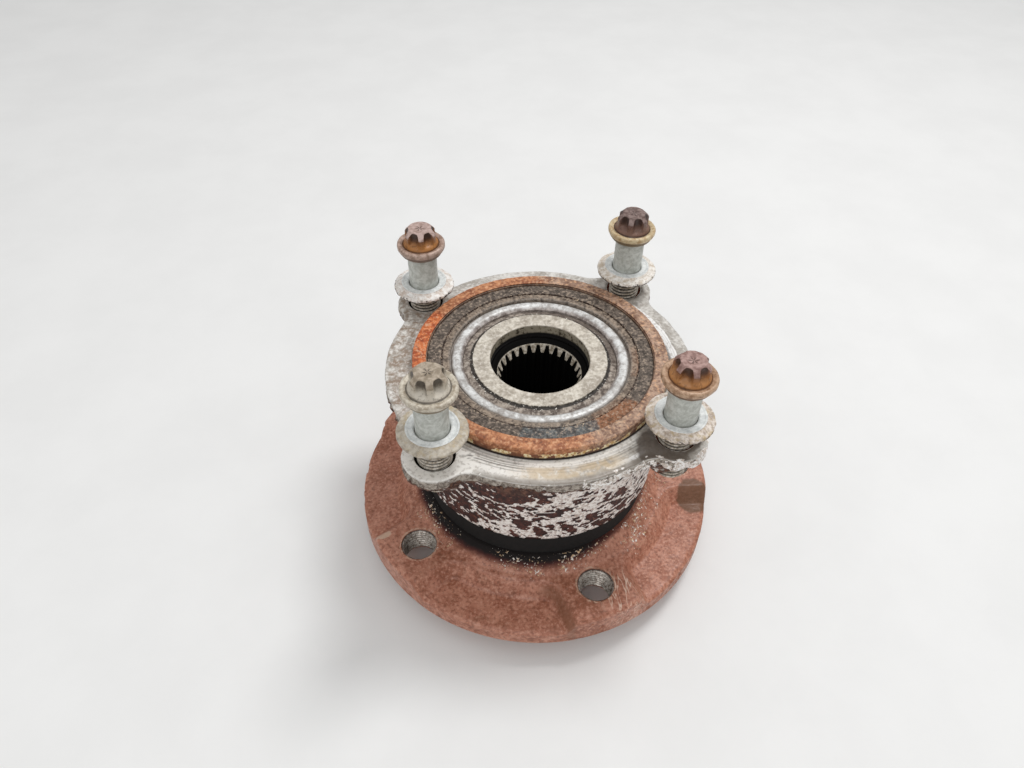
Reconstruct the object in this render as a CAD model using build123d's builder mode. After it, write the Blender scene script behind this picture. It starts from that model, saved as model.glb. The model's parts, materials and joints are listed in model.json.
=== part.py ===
from build123d import *
import math
import os

# Driven wheel hub bearing: a flanged hub runs in a double-row angular-contact
# ball bearing whose outer ring bolts to the knuckle through four eared holes.
#
# Frame: Z is the spin axis. The part stands on the end face of the wheel pilot
# at z = 0, outboard side down. The knuckle bolts lie at 45, 135, 225 and 315
# degrees. Every size is in millimetres.

# ---------------------------------------------------------------- hub flange
wheel_pilot_radius = 36.2
wheel_pilot_height = 5.5
wheel_pilot_lead = 2.0
disc_pilot_step = 3.3
disc_pilot_height = 5.5
disc_pilot_lead = 0.8
nut_recess_radius = 24.0
nut_recess_depth = 19.0
flange_edge_break = 0.8
pad_thickness = 12.5
pad_width = 25.0
pad_edge_radius = 2.0
web_thickness = 6.5
pocket_inset = 1.5
pocket_corner_radius = 7.0
pocket_floor_corner_radius = 2.0
pocket_slope = 40.0
land_inset = 0.7
land_skirt_width = 5.9
land_height = 5.0
land_blend = 3.0
neck_step = 1.4
neck_root_blend = 4.0

# --------------------------------------------------- lug and disc screw holes
lug_count = 5
lug_circle_radius = 60.0
lug_edge_distance = 13.3
lug_phase = -3.0
lug_thread_radius = 7.0
lug_hole_chamfer = 0.5
disc_screw_radius = 4.0
disc_screw_angle = 105.0
disc_screw_offset = 4.5

# -------------------------------------------------------------------- spline
spline_teeth = 27
spline_phase = 10.2
spline_tip_radius = 14.3
spline_tooth_height = 1.5
spline_tip_width = 0.75
spline_root_width = 2.6
spline_lead_length = 3.9
nose_inset = 5.6
nose_wall = 2.5
nose_chamfer_width = 1.4
nose_chamfer_depth = 1.7
nose_edge_break = 0.6

# ------------------------------------------------------------------- bearing
ball_diameter = 13.494
balls_per_row = 13
ball_pitch_radius = 32.4
contact_angle = 38.0
race_conformity = 0.52
ball_clearance = 0.03
high_shoulder_height = 2.95
low_shoulder_height = 0.55
cage_half_width = 2.1
cage_back = 1.5
cage_prong = 2.0
pocket_clearance = 0.15

# ---------------------------------------------------------------- inner ring
inner_ring_width = 25.0
inner_ring_bore_chamfer = 0.6
inner_ring_entry_relief = 0.2
inner_ring_entry_gap = 0.4
inner_ring_face_relief = 3.7
inner_ring_face_step = 0.6
inner_ring_corner_drop = 1.0

# ---------------------------------------------------------------- outer ring
rim_gap = 11.3
outer_ring_length = 51.3
ring_wall = 8.15
barrel_edge_break = 1.2
spigot_relief = 0.2
spigot_height = 5.0
spigot_edge_break = 0.7
inboard_row_inset = 18.6
outboard_row_inset = 12.2
face_inset = 2.5
seal_seat_step = 3.4
outboard_seal_seat_step = 2.4
outboard_seal_bore_depth = 3.6
inboard_seal_bore_depth = 9.6
mount_overhang = 10.2
mount_wall_height = 5.0
mount_underside = 4.0
mount_edge_radius = 0.8
ear_wall = 5.3
ear_blend_radius = 9.0
ear_boss_inset = 1.8
ear_thickness = 12.0

# ------------------------------------------------------------ knuckle bolts
bolt_stand_off = 10.5
bolt_count = 4
bolt_thread_radius = 6.0
bolt_thread_length = 24.7
bolt_point_chamfer = 1.2
bolt_hole_clearance = 0.06
bolt_hole_chamfer = 0.9
bolt_shank_relief = 0.4
collar_width = 2.4
collar_rim_height = 1.8
collar_taper_height = 2.8
collar_foot_inset = 1.6
collar_lip_width = 0.9
collar_dish = 0.4
collar_edge_radius = 0.6
free_shank_length = 16.2
head_foot_width = 0.6
head_foot_height = 1.3
head_height = 6.4
head_lobe_radius = 6.2
head_lobes = 6
head_flute_radius = 2.1
head_flute_stand_off = 0.3
head_draft = 1.0
head_top_chamfer = 1.4

# --------------------------------------------------------- captive washers
washer_rim_width = 3.0
washer_thickness = 2.8
washer_bore_clearance = 0.3
washer_bore_chamfer = 0.35
washer_seat_width = 2.9
washer_seat_step = 0.3
washer_dish = 0.7
washer_edge_radius = 0.5

# name, angle about Z, height of the washer above the mount face, head turn
bolt_places = [
    ("rear_right", 45.0, 9.3, 37.0),
    ("rear_left", 135.0, 7.7, 2.0),
    ("front_left", 225.0, 11.3, 4.0),
    ("front_right", 315.0, 8.2, 56.0),
]

# -------------------------------------------------------------------- seals
case_thickness = 0.7
inboard_case_height = 5.6
inboard_case_stand_off = 4.9
outboard_case_height = 2.9
outboard_case_stand_off = 3.5
seal_gap = 0.05
lip_thickness = 1.3
skirt_inset = 1.2
skirt_thickness = 1.4
skirt_gap = 0.4
slinger_thickness = 0.7
slinger_sleeve_length = 6.2
slinger_bead_width = 4.4
slinger_bead_rise = 1.0
slinger_flange_inset = 0.4
encoder_bead_gap = 0.4
encoder_clearance = 0.4
encoder_thickness = 1.8
encoder_step = 0.3
encoder_groove_inset = 2.9
encoder_groove_width = 0.5
encoder_groove_depth = 0.5

# ----------------------------------------------------------- derived levels
flange_front_z = wheel_pilot_height + disc_pilot_height
web_z = flange_front_z + web_thickness
pad_top_z = flange_front_z + pad_thickness
land_z = pad_top_z + land_height
rim_z = land_z + rim_gap
ring_end_z = rim_z + outer_ring_length
mount_face_z = ring_end_z - spigot_height
inner_face_z = ring_end_z - face_inset
inner_ring_foot_z = inner_face_z - inner_ring_width
nose_z = inner_face_z - nose_inset
row_spacing = outer_ring_length - inboard_row_inset - outboard_row_inset
inboard_row_z = ring_end_z - inboard_row_inset
outboard_row_z = inboard_row_z - row_spacing

# ------------------------------------------------ derived radii, bearing first
ball_radius = ball_diameter / 2
inner_race_radius = ball_pitch_radius - ball_radius
outer_race_radius = ball_pitch_radius + ball_radius
high_inner_radius = inner_race_radius + high_shoulder_height
low_inner_radius = inner_race_radius + low_shoulder_height
high_outer_radius = outer_race_radius - high_shoulder_height
low_outer_radius = outer_race_radius - low_shoulder_height
race_radius = race_conformity * ball_diameter
race_offset = race_radius - ball_radius - ball_clearance
race_offset_r = race_offset * math.cos(math.radians(contact_angle))
race_offset_z = race_offset * math.sin(math.radians(contact_angle))
cage_inner_radius = ball_pitch_radius - cage_half_width
cage_outer_radius = ball_pitch_radius + cage_half_width
ball_pocket_radius = ball_radius + pocket_clearance

spline_root_radius = spline_tip_radius + spline_tooth_height
nose_chamfer_radius = spline_root_radius + nose_chamfer_width
inner_ring_seat_radius = spline_root_radius + nose_wall
inner_ring_face_radius = high_inner_radius - inner_ring_face_relief
neck_radius = high_inner_radius + neck_step

barrel_radius = outer_race_radius + ring_wall
spigot_radius = barrel_radius - spigot_relief
seal_bore_radius = low_outer_radius + seal_seat_step
outboard_seal_bore_radius = low_outer_radius + outboard_seal_seat_step
mount_round_radius = barrel_radius + mount_overhang
bolt_circle_radius = barrel_radius + bolt_stand_off
ear_radius = bolt_thread_radius + ear_wall
ear_boss_radius = ear_radius - ear_boss_inset

disc_pilot_radius = wheel_pilot_radius + disc_pilot_step
flange_radius = lug_circle_radius + lug_edge_distance
land_radius = barrel_radius - land_inset
land_foot_radius = land_radius + land_skirt_width
pocket_inner_radius = land_foot_radius + pocket_inset
skirt_radius = land_radius - skirt_inset

inboard_case_inner_radius = high_inner_radius + inboard_case_stand_off
outboard_case_inner_radius = neck_radius + outboard_case_stand_off
slinger_bead_radius = high_inner_radius + slinger_bead_width
encoder_inner_radius = slinger_bead_radius + encoder_bead_gap
encoder_groove_radius = encoder_inner_radius + encoder_groove_inset
encoder_radius = seal_bore_radius - encoder_clearance
slinger_flange_radius = encoder_radius - slinger_flange_inset

bolt_hole_radius = bolt_thread_radius + bolt_hole_clearance
bolt_shank_radius = bolt_thread_radius - bolt_shank_relief
head_foot_radius = head_lobe_radius + head_foot_width
head_flute_circle_radius = head_lobe_radius + head_flute_stand_off
collar_radius = head_foot_radius + collar_width
collar_foot_radius = collar_radius - collar_foot_inset
collar_height = collar_rim_height + collar_taper_height
washer_bore_radius = bolt_shank_radius + washer_bore_clearance
washer_seat_radius = washer_bore_radius + washer_seat_width
washer_radius = washer_seat_radius + washer_rim_width


def round_corner(sketch, r, z, radius):
    """Fillets the corner of a profile that lies nearest to (r, z)."""
    corner = sketch.vertices().sort_by_distance(Vector(r, z))[0]
    fillet(corner, radius)


def save(piece, name):
    """Labels a finished piece and writes it as its own STEP file."""
    piece.part.label = name
    export_step(piece.part, f"parts/{name}.step")


os.makedirs("parts", exist_ok=True)

# ------------------------------------------------------------- 1 hub flange
def pocket_outline(z, inset, corner_radius):
    """Returns the outline at z of a pocket between two lug pads, inset from its mouth."""
    reach = flange_radius + pad_thickness
    half_pad = pad_width / 2 + inset
    half_angle = 180 / lug_count
    with BuildSketch(Plane.XY.offset(z)) as outline:
        Circle(reach)
        Circle(pocket_inner_radius + inset, mode=Mode.SUBTRACT)
        Rectangle(reach, 2 * reach, align=(Align.MIN, Align.CENTER), mode=Mode.INTERSECT)
        for side in (-1, 1):
            # All that lies beyond the edge of the pad on this side.
            Rectangle(
                2 * reach,
                2 * reach,
                rotation=side * half_angle,
                align=(Align.CENTER, Align.MIN if side > 0 else Align.MAX),
                mode=Mode.SUBTRACT,
            )
            with PolarLocations(0, 1, start_angle=side * half_angle):
                Rectangle(
                    reach,
                    2 * half_pad,
                    align=(Align.MIN, Align.CENTER),
                    mode=Mode.SUBTRACT,
                )
        inner_corners = outline.vertices().sort_by_distance(Vector(0, 0, 0))[:2]
        fillet(inner_corners, corner_radius)
    return outline.sketch


pocket_side_run = (pad_thickness - web_thickness) * math.tan(math.radians(pocket_slope))
with BuildPart() as pocket:
    loft(
        [
            pocket_outline(pad_top_z, 0, pocket_corner_radius),
            pocket_outline(web_z, pocket_side_run, pocket_floor_corner_radius),
        ],
        ruled=True,
    )

with BuildPart() as hub_flange:
    with BuildSketch(Plane.XZ) as hub_profile:
        with BuildLine():
            Polyline(
                (nut_recess_radius, 0),
                (wheel_pilot_radius - wheel_pilot_lead, 0),
                (wheel_pilot_radius, wheel_pilot_lead),
                (wheel_pilot_radius, wheel_pilot_height),
                (disc_pilot_radius - disc_pilot_lead, wheel_pilot_height),
                (disc_pilot_radius, wheel_pilot_height + disc_pilot_lead),
                (disc_pilot_radius, flange_front_z),
                (flange_radius - flange_edge_break, flange_front_z),
                (flange_radius, flange_front_z + flange_edge_break),
                (flange_radius, pad_top_z),
                (land_foot_radius, pad_top_z),
                (land_radius, land_z),
                (neck_radius, land_z),
                (neck_radius, rim_z),
                (high_inner_radius, rim_z + outboard_seal_bore_depth),
                (high_inner_radius, outboard_row_z),
                (low_inner_radius, outboard_row_z),
                (low_inner_radius, inner_ring_foot_z),
                (inner_ring_seat_radius, inner_ring_foot_z),
                (inner_ring_seat_radius, nose_z - nose_edge_break),
                (inner_ring_seat_radius - nose_edge_break, nose_z),
                (nose_chamfer_radius, nose_z),
                (spline_root_radius, nose_z - nose_chamfer_depth),
                (spline_tip_radius, nose_z - nose_chamfer_depth - spline_lead_length),
                (spline_tip_radius, nut_recess_depth),
                (nut_recess_radius, nut_recess_depth),
                close=True,
            )
        make_face()
        round_corner(hub_profile, flange_radius, pad_top_z, pad_edge_radius)
        round_corner(hub_profile, land_foot_radius, pad_top_z, land_blend)
        round_corner(hub_profile, land_radius, land_z, land_blend / 2)
        round_corner(hub_profile, neck_radius, land_z, neck_root_blend)
    revolve(axis=Axis.Z)

    # Race of the outboard row.
    with BuildSketch(Plane.XZ):
        with Locations((ball_pitch_radius + race_offset_r, outboard_row_z + race_offset_z)):
            Circle(race_radius)
    revolve(axis=Axis.Z, mode=Mode.SUBTRACT)

    # Pockets between the lug pads, with sloped sides.
    with PolarLocations(0, lug_count, start_angle=lug_phase + 180 / lug_count):
        add(pocket.part, mode=Mode.SUBTRACT)

    # Threaded lug holes, at the thread's major radius, and the disc screw hole.
    with Locations(Plane.XY.offset(pad_top_z)):
        with PolarLocations(lug_circle_radius, lug_count, start_angle=lug_phase):
            CounterSinkHole(
                lug_thread_radius,
                lug_thread_radius + lug_hole_chamfer,
                depth=pad_thickness,
                counter_sink_angle=90,
            )
    with Locations(Plane.XY.offset(pad_top_z)):
        with PolarLocations(lug_circle_radius + disc_screw_offset, 1, start_angle=disc_screw_angle):
            Hole(disc_screw_radius, depth=pad_thickness)

    # Spaces between the internal spline teeth.
    pitch_at_tip = 2 * math.pi * spline_tip_radius / spline_teeth
    pitch_at_root = 2 * math.pi * spline_root_radius / spline_teeth
    tip_space = (pitch_at_tip - spline_tip_width) / 2
    root_space = (pitch_at_root - spline_root_width) / 2
    with BuildSketch(Plane.XY.offset(nut_recess_depth)):
        with PolarLocations(0, spline_teeth, start_angle=spline_phase + 180 / spline_teeth):
            Polygon(
                (spline_tip_radius - spline_tip_width, -tip_space),
                (spline_tip_radius, -tip_space),
                (spline_root_radius, -root_space),
                (spline_root_radius, root_space),
                (spline_tip_radius, tip_space),
                (spline_tip_radius - spline_tip_width, tip_space),
                align=None,
            )
    extrude(amount=nose_z - nut_recess_depth, mode=Mode.SUBTRACT)
save(hub_flange, "hub_flange")

# ------------------------------------------------------------- 2 inner ring
# Its bore is relieved above the hub's nose, where the driveshaft's shoulder enters.
entry_radius = inner_ring_seat_radius + inner_ring_entry_relief
with BuildPart() as inner_ring:
    with BuildSketch(Plane.XZ):
        with BuildLine():
            Polyline(
                (inner_ring_seat_radius, inner_ring_foot_z),
                (low_inner_radius, inner_ring_foot_z),
                (low_inner_radius, inboard_row_z),
                (high_inner_radius, inboard_row_z),
                (high_inner_radius, inner_face_z - inner_ring_face_step - inner_ring_corner_drop),
                (inner_ring_face_radius + inner_ring_face_step / 2, inner_face_z - inner_ring_face_step),
                (inner_ring_face_radius, inner_face_z),
                (entry_radius + inner_ring_bore_chamfer, inner_face_z),
                (entry_radius, inner_face_z - inner_ring_bore_chamfer),
                (entry_radius, nose_z + inner_ring_entry_gap),
                (inner_ring_seat_radius, nose_z + inner_ring_entry_gap),
                close=True,
            )
        make_face()
    revolve(axis=Axis.Z)
    with BuildSketch(Plane.XZ):
        with Locations((ball_pitch_radius + race_offset_r, inboard_row_z - race_offset_z)):
            Circle(race_radius)
    revolve(axis=Axis.Z, mode=Mode.SUBTRACT)
save(inner_ring, "inner_ring")

# ------------------------------------------------------------- 3 outer ring
def mount_outline(z):
    """Returns the mount flange's outline at z: a round stretch and blended ears."""
    with BuildSketch(Plane.XY.offset(z)) as outline:
        Circle(mount_round_radius)
        with PolarLocations(bolt_circle_radius, bolt_count, start_angle=45):
            Circle(ear_radius)
        fillet(outline.vertices(), ear_blend_radius)
    return outline.sketch


with BuildPart() as outer_ring:
    # Mount flange: a straight wall, a bevelled underside and a boss under each ear.
    extrude(mount_outline(mount_face_z), amount=-mount_wall_height - mount_underside)
    chamfer(outer_ring.edges().group_by(Axis.Z)[0], mount_underside)
    face_edges = outer_ring.edges().group_by(Axis.Z)[-1]
    fillet(face_edges, mount_edge_radius)
    with BuildSketch(Plane.XY.offset(mount_face_z - ear_thickness)):
        with PolarLocations(bolt_circle_radius, bolt_count, start_angle=45):
            Circle(ear_boss_radius)
    extrude(amount=ear_thickness / 2)
    with BuildSketch(Plane.XY.offset(mount_face_z)):
        Circle(barrel_radius - barrel_edge_break)
    extrude(amount=-2 * ear_thickness, mode=Mode.SUBTRACT)

    # Barrel, gusset, spigot, lands and seal bores.
    gusset_z = mount_face_z - mount_wall_height - mount_underside
    gusset_rim = mount_round_radius - mount_underside
    gusset_radius = gusset_rim - barrel_radius
    with BuildSketch(Plane.XZ) as ring_profile:
        with BuildLine():
            Polyline(
                (outboard_seal_bore_radius, rim_z),
                (barrel_radius - barrel_edge_break, rim_z),
                (barrel_radius, rim_z + barrel_edge_break),
                (barrel_radius, gusset_z - gusset_radius),
            )
            RadiusArc(
                (barrel_radius, gusset_z - gusset_radius),
                (gusset_rim, gusset_z),
                gusset_radius,
            )
            Polyline(
                (gusset_rim, gusset_z),
                (gusset_rim, mount_face_z),
                (spigot_radius, mount_face_z),
                (spigot_radius, ring_end_z - spigot_edge_break),
                (spigot_radius - spigot_edge_break, ring_end_z),
                (seal_bore_radius, ring_end_z),
                (seal_bore_radius, ring_end_z - inboard_seal_bore_depth),
                (low_outer_radius, ring_end_z - inboard_seal_bore_depth),
                (low_outer_radius, inboard_row_z),
                (high_outer_radius, inboard_row_z),
                (high_outer_radius, outboard_row_z),
                (low_outer_radius, outboard_row_z),
                (low_outer_radius, rim_z + outboard_seal_bore_depth),
                (outboard_seal_bore_radius, rim_z + outboard_seal_bore_depth),
                (outboard_seal_bore_radius, rim_z),
            )
        make_face()
    revolve(axis=Axis.Z)

    # Races of both rows.
    with BuildSketch(Plane.XZ):
        with Locations(
            (ball_pitch_radius - race_offset_r, inboard_row_z + race_offset_z),
            (ball_pitch_radius - race_offset_r, outboard_row_z - race_offset_z),
        ):
            Circle(race_radius)
    revolve(axis=Axis.Z, mode=Mode.SUBTRACT)

    # Threaded bolt holes through the ears, at the thread's major radius.
    with Locations(Plane.XY.offset(mount_face_z)):
        with PolarLocations(bolt_circle_radius, bolt_count, start_angle=45):
            CounterSinkHole(
                bolt_hole_radius,
                bolt_hole_radius + bolt_hole_chamfer,
                depth=2 * ear_thickness,
                counter_sink_angle=90,
            )
save(outer_ring, "outer_ring")

# ------------------------------------------------- 4 to 7 balls and cages
for row_name, row_z, back in (
    ("inboard", inboard_row_z, 1),
    ("outboard", outboard_row_z, -1),
):
    with BuildPart() as balls:
        with Locations(Plane.XY.offset(row_z)):
            with PolarLocations(ball_pitch_radius, balls_per_row):
                Sphere(ball_radius)
    save(balls, f"balls_{row_name}")

    # Crown cage: prongs between the balls, joined by a band behind them.
    band_z = row_z + back * (ball_pocket_radius + cage_back)
    prong_z = row_z - back * cage_prong
    with BuildPart() as cage:
        with BuildSketch(Plane.XY.offset(min(band_z, prong_z))):
            Circle(cage_outer_radius)
            Circle(cage_inner_radius, mode=Mode.SUBTRACT)
        extrude(amount=abs(band_z - prong_z))
        with Locations(Plane.XY.offset(row_z)):
            with PolarLocations(ball_pitch_radius, balls_per_row):
                Sphere(ball_pocket_radius, mode=Mode.SUBTRACT)
    save(cage, f"cage_{row_name}")

# ------------------------------------------------------ 8 to 11 inboard seal
case_foot_z = ring_end_z - inboard_seal_bore_depth
flange_z = inner_face_z - slinger_bead_rise / 2

# Pressed steel case in the outer ring's bore.
with BuildPart() as inboard_seal_case:
    with BuildSketch(Plane.XZ):
        with BuildLine():
            Polyline(
                (inboard_case_inner_radius, case_foot_z),
                (seal_bore_radius, case_foot_z),
                (seal_bore_radius, case_foot_z + inboard_case_height),
                (seal_bore_radius - case_thickness, case_foot_z + inboard_case_height),
                (seal_bore_radius - case_thickness, case_foot_z + case_thickness),
                (inboard_case_inner_radius, case_foot_z + case_thickness),
                close=True,
            )
        make_face()
    revolve(axis=Axis.Z)
save(inboard_seal_case, "inboard_seal_case")

sleeve_radius = high_inner_radius + slinger_thickness
sleeve_foot_z = flange_z - slinger_sleeve_length

# Stainless slinger: sleeve on the inner ring, rolled bead and flat flange.
with BuildPart() as inboard_slinger:
    with BuildSketch(Plane.XZ):
        with BuildLine():
            bead_mid_radius = (high_inner_radius + slinger_bead_radius) / 2
            bead_foot_z = flange_z - slinger_thickness
            Polyline((high_inner_radius, bead_foot_z), (high_inner_radius, sleeve_foot_z),
                     (sleeve_radius, sleeve_foot_z), (sleeve_radius, bead_foot_z - slinger_thickness))
            ThreePointArc(
                (sleeve_radius, bead_foot_z - slinger_thickness),
                (bead_mid_radius, flange_z + slinger_bead_rise - slinger_thickness),
                (slinger_bead_radius, bead_foot_z),
            )
            Polyline((slinger_bead_radius, bead_foot_z), (slinger_flange_radius, bead_foot_z),
                     (slinger_flange_radius, flange_z), (slinger_bead_radius, flange_z))
            ThreePointArc(
                (slinger_bead_radius, flange_z),
                (bead_mid_radius, flange_z + slinger_bead_rise),
                (high_inner_radius, bead_foot_z),
            )
        make_face()
    revolve(axis=Axis.Z)
save(inboard_slinger, "inboard_slinger")

# Rubber lips bonded to the case: one on the sleeve, one on the flange.
with BuildPart() as inboard_seal_lip:
    lip_root_z = case_foot_z + case_thickness
    with BuildSketch(Plane.XZ):
        with BuildLine():
            Polyline(
                (inboard_case_inner_radius, case_foot_z),
                (inboard_case_inner_radius, lip_root_z),
                (inboard_case_inner_radius + 2 * lip_thickness, lip_root_z),
                (inboard_case_inner_radius + 3 * lip_thickness, bead_foot_z - seal_gap),
                (inboard_case_inner_radius + 2.5 * lip_thickness, bead_foot_z - seal_gap),
                (inboard_case_inner_radius + lip_thickness, lip_root_z + lip_thickness),
                (inboard_case_inner_radius - lip_thickness, lip_root_z + lip_thickness),
                (sleeve_radius + seal_gap, lip_root_z + 2 * lip_thickness),
                (sleeve_radius + seal_gap, lip_root_z + lip_thickness),
                (inboard_case_inner_radius - lip_thickness, case_foot_z),
                close=True,
            )
        make_face()
    revolve(axis=Axis.Z)
save(inboard_seal_lip, "inboard_seal_lip")

# Magnetised encoder ring bonded to the slinger's flange.
with BuildPart() as encoder_ring:
    encoder_top_z = flange_z + encoder_thickness
    groove_inner = encoder_groove_radius - encoder_groove_width / 2
    groove_outer = encoder_groove_radius + encoder_groove_width / 2
    with BuildSketch(Plane.XZ):
        with BuildLine():
            Polyline(
                (encoder_inner_radius, flange_z),
                (encoder_radius, flange_z),
                (encoder_radius, encoder_top_z),
                (groove_outer, encoder_top_z),
                (groove_outer, encoder_top_z - encoder_groove_depth),
                (groove_inner, encoder_top_z - encoder_groove_depth),
                (groove_inner, encoder_top_z - encoder_step),
                (encoder_inner_radius + encoder_step, encoder_top_z - encoder_step),
                (encoder_inner_radius, encoder_top_z - 2 * encoder_step),
                close=True,
            )
        make_face()
    revolve(axis=Axis.Z)
save(encoder_ring, "encoder_ring")

# ----------------------------------------------------- 12 and 13 outboard seal
with BuildPart() as outboard_seal_case:
    case_top_z = rim_z + outboard_seal_bore_depth
    case_end_z = case_top_z - outboard_case_height
    with BuildSketch(Plane.XZ):
        with BuildLine():
            Polyline(
                (outboard_case_inner_radius, case_top_z),
                (outboard_seal_bore_radius, case_top_z),
                (outboard_seal_bore_radius, case_end_z),
                (outboard_seal_bore_radius - case_thickness, case_end_z),
                (outboard_seal_bore_radius - case_thickness, case_top_z - case_thickness),
                (outboard_case_inner_radius, case_top_z - case_thickness),
                close=True,
            )
        make_face()
    revolve(axis=Axis.Z)
save(outboard_seal_case, "outboard_seal_case")

# Rubber with a radial lip on the neck and a skirt that shields the gap.
with BuildPart() as outboard_seal_lip:
    case_floor_z = case_top_z - case_thickness
    skirt_top_z = rim_z - seal_gap
    with BuildSketch(Plane.XZ):
        with BuildLine():
            Polyline(
                (outboard_case_inner_radius, case_floor_z),
                (outboard_seal_bore_radius - case_thickness, case_floor_z),
                (outboard_seal_bore_radius - case_thickness, skirt_top_z),
                (barrel_radius - 2 * barrel_edge_break, skirt_top_z),
                (skirt_radius, land_z + skirt_gap),
                (skirt_radius - skirt_thickness, land_z + skirt_gap),
                (barrel_radius - 2 * barrel_edge_break - skirt_thickness, skirt_top_z - skirt_thickness),
                (outboard_case_inner_radius, skirt_top_z - skirt_thickness),
                (neck_radius + seal_gap, skirt_top_z - 2 * skirt_thickness),
                (neck_radius + seal_gap, skirt_top_z - skirt_thickness),
                (outboard_case_inner_radius - lip_thickness, skirt_top_z),
                (outboard_case_inner_radius - lip_thickness, case_top_z - case_thickness / 2),
                (outboard_case_inner_radius, case_top_z - case_thickness / 2),
                close=True,
            )
        make_face()
    revolve(axis=Axis.Z)
save(outboard_seal_lip, "outboard_seal_lip")

# ----------------------------------------- 14 to 21 knuckle bolts and washers
for place, angle, lift, head_turn in bolt_places:
    turn = math.radians(angle)
    shoulder_z = mount_face_z + lift
    foot = Vector(bolt_circle_radius * math.cos(turn), bolt_circle_radius * math.sin(turn), 0)
    side_plane = Plane(origin=foot, x_dir=(1, 0, 0), z_dir=(0, -1, 0))
    bolt_axis = Axis(foot, (0, 0, 1))
    washer_top_z = shoulder_z + washer_thickness
    collar_foot_z = shoulder_z + free_shank_length
    collar_top_z = collar_foot_z + collar_height
    head_top_z = collar_top_z + head_height

    with BuildPart() as bolt:
        # Six-lobe head with a light draft and a chamfered top.
        with BuildSketch(Plane(origin=foot + Vector(0, 0, collar_foot_z), z_dir=(0, 0, 1))):
            Circle(head_lobe_radius)
            with PolarLocations(head_flute_circle_radius, head_lobes, start_angle=head_turn):
                Circle(head_flute_radius, mode=Mode.SUBTRACT)
        extrude(amount=collar_height + head_height, taper=head_draft)
        with BuildSketch(side_plane):
            with BuildLine():
                Polyline(
                    (0, collar_foot_z),
                    (collar_radius, collar_foot_z),
                    (collar_radius, head_top_z - collar_radius + head_lobe_radius - head_top_chamfer),
                    (head_lobe_radius - head_top_chamfer, head_top_z),
                    (0, head_top_z),
                    close=True,
                )
            make_face()
        revolve(axis=bolt_axis, mode=Mode.INTERSECT)

        # Collar, shank and thread as one turned body.
        with BuildSketch(side_plane) as bolt_profile:
            with BuildLine():
                Polyline(
                    (0, shoulder_z - bolt_thread_length),
                    (bolt_thread_radius - bolt_point_chamfer, shoulder_z - bolt_thread_length),
                    (bolt_thread_radius, shoulder_z - bolt_thread_length + bolt_point_chamfer),
                    (bolt_thread_radius, shoulder_z),
                    (bolt_shank_radius, shoulder_z),
                    (bolt_shank_radius, collar_foot_z),
                    (collar_foot_radius, collar_foot_z),
                    (collar_radius, collar_foot_z + collar_taper_height),
                    (collar_radius, collar_top_z),
                    (collar_radius - collar_lip_width, collar_top_z),
                    (head_foot_radius, collar_top_z - collar_dish),
                    (head_foot_radius - head_foot_height / 2, collar_top_z + head_foot_height),
                    (0, collar_top_z + head_foot_height),
                    close=True,
                )
            make_face()
            round_corner(bolt_profile, collar_radius, collar_top_z, collar_edge_radius)
        revolve(axis=bolt_axis)
    save(bolt, f"bolt_{place}")

    with BuildPart() as washer:
        with BuildSketch(side_plane) as washer_profile:
            with BuildLine():
                Polyline(
                    (washer_bore_radius, shoulder_z),
                    (washer_radius, shoulder_z),
                    (washer_radius, washer_top_z - washer_dish - washer_seat_step),
                    (washer_seat_radius, washer_top_z - washer_seat_step),
                    (washer_seat_radius, washer_top_z),
                    (washer_bore_radius + washer_bore_chamfer, washer_top_z),
                    (washer_bore_radius, washer_top_z - washer_bore_chamfer),
                    close=True,
                )
            make_face()
            round_corner(washer_profile, washer_radius, washer_top_z, washer_edge_radius)
            round_corner(washer_profile, washer_radius, shoulder_z, washer_edge_radius)
        revolve(axis=bolt_axis)
    save(washer, f"washer_{place}")
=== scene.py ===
"""Looks of a used, driven wheel hub bearing: rusted flange, corroded ring, four captive-washer bolts.

Every piece is turned from an outline in (r, z) millimetres on a polar grid, so that pads, ears, teeth,
threads and flaking corrosion are real geometry. Materials are procedural.
"""

import itertools
import json
import math

import bmesh
import bpy
import numpy as np
from mathutils import Matrix, Vector


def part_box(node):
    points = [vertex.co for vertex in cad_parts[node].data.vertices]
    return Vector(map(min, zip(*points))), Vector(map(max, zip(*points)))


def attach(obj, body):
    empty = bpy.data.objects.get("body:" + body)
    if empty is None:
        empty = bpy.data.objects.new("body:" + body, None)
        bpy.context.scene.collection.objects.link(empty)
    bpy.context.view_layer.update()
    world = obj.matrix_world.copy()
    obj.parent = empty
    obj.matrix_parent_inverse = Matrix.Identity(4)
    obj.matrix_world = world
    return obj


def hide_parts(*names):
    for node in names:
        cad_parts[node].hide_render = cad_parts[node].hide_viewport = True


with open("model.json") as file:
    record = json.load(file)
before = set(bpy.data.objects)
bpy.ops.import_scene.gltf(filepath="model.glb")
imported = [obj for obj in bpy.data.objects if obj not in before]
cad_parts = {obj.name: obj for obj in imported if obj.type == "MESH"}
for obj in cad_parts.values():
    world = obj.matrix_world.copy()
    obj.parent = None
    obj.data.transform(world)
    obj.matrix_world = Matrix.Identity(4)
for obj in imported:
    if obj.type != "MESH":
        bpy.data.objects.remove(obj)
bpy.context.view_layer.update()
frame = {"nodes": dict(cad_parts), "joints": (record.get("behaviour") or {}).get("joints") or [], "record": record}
MM = 0.001

# ------------------------------------------------------------- sizes from the frame, in millimetres
mounts = {m["name"]: m for m in frame["record"]["mounts"]}
joints = {j["name"]: j for j in frame["joints"]}


def node_low(node):
    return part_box(node)[0] / MM


def node_high(node):
    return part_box(node)[1] / MM


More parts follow.
